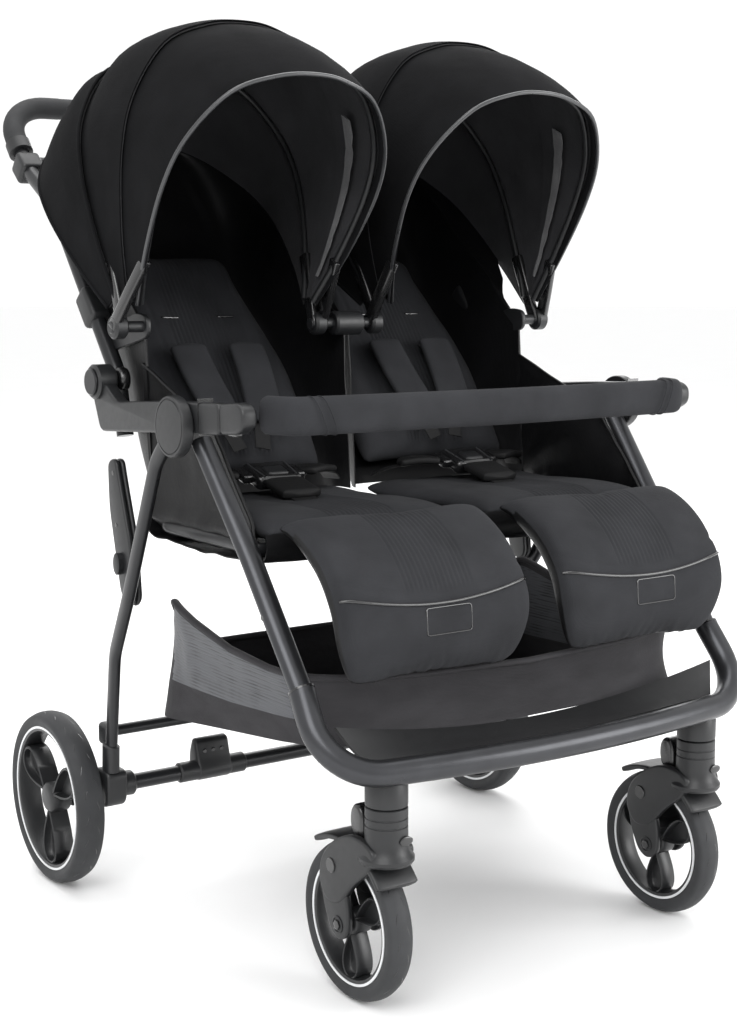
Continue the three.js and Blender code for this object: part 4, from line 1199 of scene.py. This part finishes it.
def tub_row(t):
    """Half way up the seat the cloth changes from the seat's own sides to the canopy's rear hem."""
    if t < 0.45:
        share = t / 0.45
        edge = Vector((-14 + 17 * share, 530 + 221 * share))
        spine = Vector((21 + 136 * share, 530 + 187 * share))
        return edge, spine, -147.0, 147.0, 3.0
    index = round(35 * (t - 0.45) / 0.55)
    inner, outer = ARCH_LINE[index], ARCH_LINE[ARCH_STEPS - index]
    reach = inner.y * canopy_scale(CANOPY_BACK)[1]
    turn = radians(CANOPY_BACK + 0.6)
    y, z = CANOPY_PIVOT
    edge = Vector((y + reach * cos(turn), z + reach * sin(turn)))
    spine = TUB_SPINE[round(60 * min(1.0, max(0.0, (inner.y - 34) / 327)))]
    settle = smooth((t - 0.45) / 0.12)
    low = -147 + (inner.x * 0.985 + CANOPY_X - TUB_CENTRE + 147) * settle
    high = 147 + (min(outer.x * 0.985, 132) + CANOPY_X - TUB_CENTRE - 147) * settle
    return edge, spine, low, high, 3 + max(0.0, outer.x * 0.985 - 135) * settle


def make_tub(name, side):
    """The black cloth that closes the back and the sides of a seat, from the cushion up to the canopy."""
    grid = []
    rows, columns = 50, 52
    normal = Vector((0, sin(BACKREST_LEAN), -cos(BACKREST_LEAN)))
    for i in range(rows + 1):
        t = i / rows
        edge, spine, low, high, flange = tub_row(t)
        row = []
        for k in range(columns + 1):
            u = sin(pi * (k / columns - 0.5))
            deep = 1 - abs(u) ** 14
            spot = edge * (1 - deep) + spine * deep
            across = low + (high - low) * (u + 1) / 2
            place = at(side * (TUB_CENTRE + across), spot.x, spot.y)
            fold = wrinkle(place, 0.05, 0.004, 3.0 + side) * (abs(u) > 0.62) * smooth((1 - t) * 6)
            row.append(place + normal * fold)
        for k in range(1, 6):
            row.append(at(side * (TUB_CENTRE + high + flange * k / 5), edge.x, edge.y))
        grid.append(row)
    piece = sheet_grid(f"seat_tub_{name}", grid, 0.0016, "side_cloth", None)
    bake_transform(piece)


def make_side_panel(name, side):
    """The cloth between the front leg, the arm and the seat's side rail."""
    rear = spline([Vector((-4, 493)), Vector((-8, 537)), Vector((4, 640)), Vector((10, 704))], 24)
    front = spline([Vector((-268, 493)), Vector((-250, 537)), Vector((-206, 590)), Vector((-168, 634))], 24)
    grid = []
    for i in range(25):
        row = []
        for k in range(31):
            t = k / 30
            spot = rear[i] * (1 - t) + front[i] * t
            low = smooth((536 - spot.y) / 40)
            hem = 5 * low * noise.noise(Vector((t * 9, side * 4.0, 0.5)))
            place = at(side * (300 + 4 * sin(pi * low)), spot.x, spot.y + hem)
            inward = 0.010 * sin(pi * t) * sin(pi * i / 24) * (1 - low)
            inward += 0.5 * abs(wrinkle(place, 0.04, 0.006, side * 2.0)) + 0.016 * low**3
            row.append(place - X * (side * inward))
        grid.append(row)
    piece = sheet_grid(f"side_cloth_{name}", grid, 0.0015, "side_cloth", "front_frame")
    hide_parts(f"side_panel_{name}")
    sweep(f"side_hem_{name}", [row[-1] for row in grid], oval(0.0024, sides=10), "side_cloth", "front_frame")
    sweep(f"side_edge_{name}", grid[-1], oval(0.0024, sides=10), "side_cloth", "front_frame", reference=Z)


for name, side in SIDES:
    make_calf_rest(name, side)
    make_backrest(name, side)
    make_seat(name, side)
    make_harness(name, side)
    make_canopy(name, side)
    make_tub(name, side)
    make_side_panel(name, side)


# ---------------------------------------------------------------- basket and tray
BASKET_HALF = 288  # half the width over its top edge
BASKET_FRONT, BASKET_LENGTH = -354, 356
BASKET_LOOP = 160  # points round the wall
BASKET_RISE, BASKET_DIP = 49, 20  # how the top edge climbs to the rear, and sags on its way


def basket_top(length_share, sag=1.0):
    return 371 + BASKET_RISE * length_share - BASKET_DIP * sin(pi * length_share) * sag


def basket_floor(length_share):
    return 296 - 54 * length_share


def basket_point(x_share, length_share, height):
    """A point of the basket's wall: height is 1 at the top edge and 0 at the floor."""
    x = BASKET_HALF * x_share
    bow = max(0.0, 1 - x_share**2)
    front = 1 - smooth(length_share / 0.16)
    rear = smooth((length_share - 0.86) / 0.14)
    top_y = BASKET_FRONT + BASKET_LENGTH * length_share - 34 * bow * front
    top_z = basket_top(length_share, abs(x_share)) - 8 * bow * front
    top_z -= 78 * rear * min(1.0, bow * 3)
    low_y = -374 + 438 * length_share - 12 * bow * front
    low_z = basket_floor(length_share)
    y, z = low_y + (top_y - low_y) * height, low_z + (top_z - low_z) * height
    return at(x * (0.965 + 0.035 * height), y, z)


def make_basket():
    """Cloth walls and a floor hung in the frame. The sides have a panel of net above their lower edge."""
    loop = []
    for k in range(BASKET_LOOP):
        angle = 2 * pi * k / BASKET_LOOP
        loop.append((squared(sin(angle), 0.22), (1 - squared(cos(angle), 0.22)) / 2))
    grid = []
    for i in range(19):
        height = 1 - i / 18
        row = []
        for across, along in loop:
            place = basket_point(across, along, height)
            middle = basket_point(0, 0.5, height)
            inward = (middle - place).normalized()
            slack = sin(pi * (1 - height)) * 0.006
            slack += abs(wrinkle(place, 0.06, 0.007, 4.0)) * (1 - 0.6 * height)
            row.append(place + inward * slack)
        grid.append(row)
    for i in range(1, 11):
        share = 1 - i / 10
        row = []
        for across, along in loop:
            place = basket_point(across * share, 0.5 + (along - 0.5) * share, 0)
            row.append(place - Z * (0.004 * (1 - share)) + Z * wrinkle(place, 0.07, 0.003, 6.0))
        grid.append(row)
    walls = sheet_grid("basket_cloth_shell", grid, 0.0018, "basket_cloth", None, closed=True)
    walls.data.materials.append(LOOKS["mesh_cloth"].material)
    for face in walls.data.polygons:
        middle = face.center * 1000
        along = (middle.y + MIDLENGTH - BASKET_FRONT) / BASKET_LENGTH
        low = basket_floor(along)
        height = (middle.z - low) / (basket_top(along) - low)
        if abs(middle.x) > 262 and 0.07 < along < 0.97 and 0.33 < height < 0.95:
            face.material_index = 1
    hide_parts("basket")
    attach(walls, "front_frame")
    sweep("basket_hem", grid[0], oval(0.0038, 0.005, 12), "basket_cloth", "front_frame",
          reference=Z, closed=True)


def make_tray():
    """The dished plate that the feet rest on, behind the lower bar."""
    grid = []
    for i in range(13):
        t = i / 12
        row = []
        for k in range(61):
            across = -1 + 2 * k / 60
            dish = 1 - across * across
            front = Vector((-427 - 27 * dish, 291.5))
            rear = Vector((-402 + 10 * dish, 328.5 - 34 * dish))
            spot = front * (1 - t) + rear * t - Vector((0, 3 * sin(pi * t)))
            row.append(at(across * (262 + 24 * t), spot.x, spot.y))
        grid.append(row)
    piece = sheet_grid("foot_tray_shell", grid, 0.0036, "tray_plastic", "front_frame")
    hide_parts("foot_tray")


make_basket()
make_tray()


# ---------------------------------------------------------------- bumper bar
def make_bumper():
    """The padded cover of the bar across both seats, bowed a little at the front."""
    half, front, z = 303, -328, 661
    corners = [(-half + 3, -292, z), (-half + 15, front, z), (0, front - 16, z), (half - 15, front, z),
               (half - 3, -292, z)]
    path = rounded([at(*corner) for corner in corners], [0.022, 1.2, 0.022], 14)
    fine = []
    for a, b in zip(path, path[1:]):
        steps = max(1, round((b - a).length / 0.008))
        fine += [a.lerp(b, k / steps) for k in range(steps)]
    fine.append(path[-1])
    piece = sweep("bumper_cover", fine, oval(0.0128, 0.0215, 30, 0.72), "liner_cloth", "bumper", reference=Y,
                  dome=0.008)
    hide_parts("bumper_bar")
    for name, side in SIDES:
        for k, x in enumerate((262, 250)):
            loop = []
            for u, v in oval(0.0131, 0.0218, 30, 0.72):
                lean = side * (x + 9 * v / 0.0218)
                y = front - 16 * (1 - (lean / half) ** 2)
                loop.append(at(lean, y, z) + Y * u + Z * v)
            sweep(f"bumper_seam_{name}_{k + 1}", loop, oval(0.0006, sides=8), "liner_cloth", "bumper",
                  closed=True)


make_bumper()


# ---------------------------------------------------------------- floor, light and camera
def make_floor():
    bpy.ops.mesh.primitive_circle_add(vertices=128, radius=45, fill_type="NGON")
    floor = bpy.context.active_object
    floor.name = "floor"
    look = Look("studio_floor", (0.93, 0.93, 0.93), 0.7, specular=0.1)
    look.vary_color(look.noise(3, 2), 0.995, 1.005)
    floor.data.materials.append(look.material)


def make_light(name, place, target, size, power, shape=1.0):
    data = bpy.data.lights.new(name, "AREA")
    data.shape = "RECTANGLE"
    data.size, data.size_y = size, size * shape
    data.energy = power
    light = bpy.data.objects.new(name, data)
    light.location = place
    light.rotation_euler = (Vector(target) - Vector(place)).to_track_quat("-Z", "Y").to_euler()
    bpy.context.scene.collection.objects.link(light)


def make_studio():
    world = bpy.data.worlds.new("studio")
    bpy.context.scene.world = world
    world.use_nodes = True
    backdrop = world.node_tree.nodes["Background"]
    backdrop.inputs["Color"].default_value = (1, 1, 1, 1)
    backdrop.inputs["Strength"].default_value = 1.06
    middle = (0, 0, 0.6)
    make_light("key", (-2.6, -2.4, 3.4), middle, 2.6, 95)
    make_light("fill", (2.6, -3.2, 1.5), middle, 2.2, 90)
    make_light("top", (0.3, 0.6, 4.0), middle, 3.0, 70)
    make_light("rim", (2.4, 3.0, 2.6), middle, 2.4, 50)
    bpy.context.scene.view_settings.view_transform = "Standard"


def make_camera():
    data = bpy.data.cameras.new("camera")
    data.sensor_fit = "AUTO"
    data.sensor_width = 36
    data.lens = 58.71
    data.clip_end = 60
    camera = bpy.data.objects.new("camera", data)
    camera.location = (-1.2532, -1.8517, 0.8121)
    forward = Vector((0.56146, 0.81564, -0.13963))
    camera.rotation_mode = "QUATERNION"
    camera.rotation_quaternion = forward.to_track_quat("-Z", "Y")
    bpy.context.scene.collection.objects.link(camera)
    bpy.context.scene.camera = camera


make_floor()
make_studio()
make_camera()
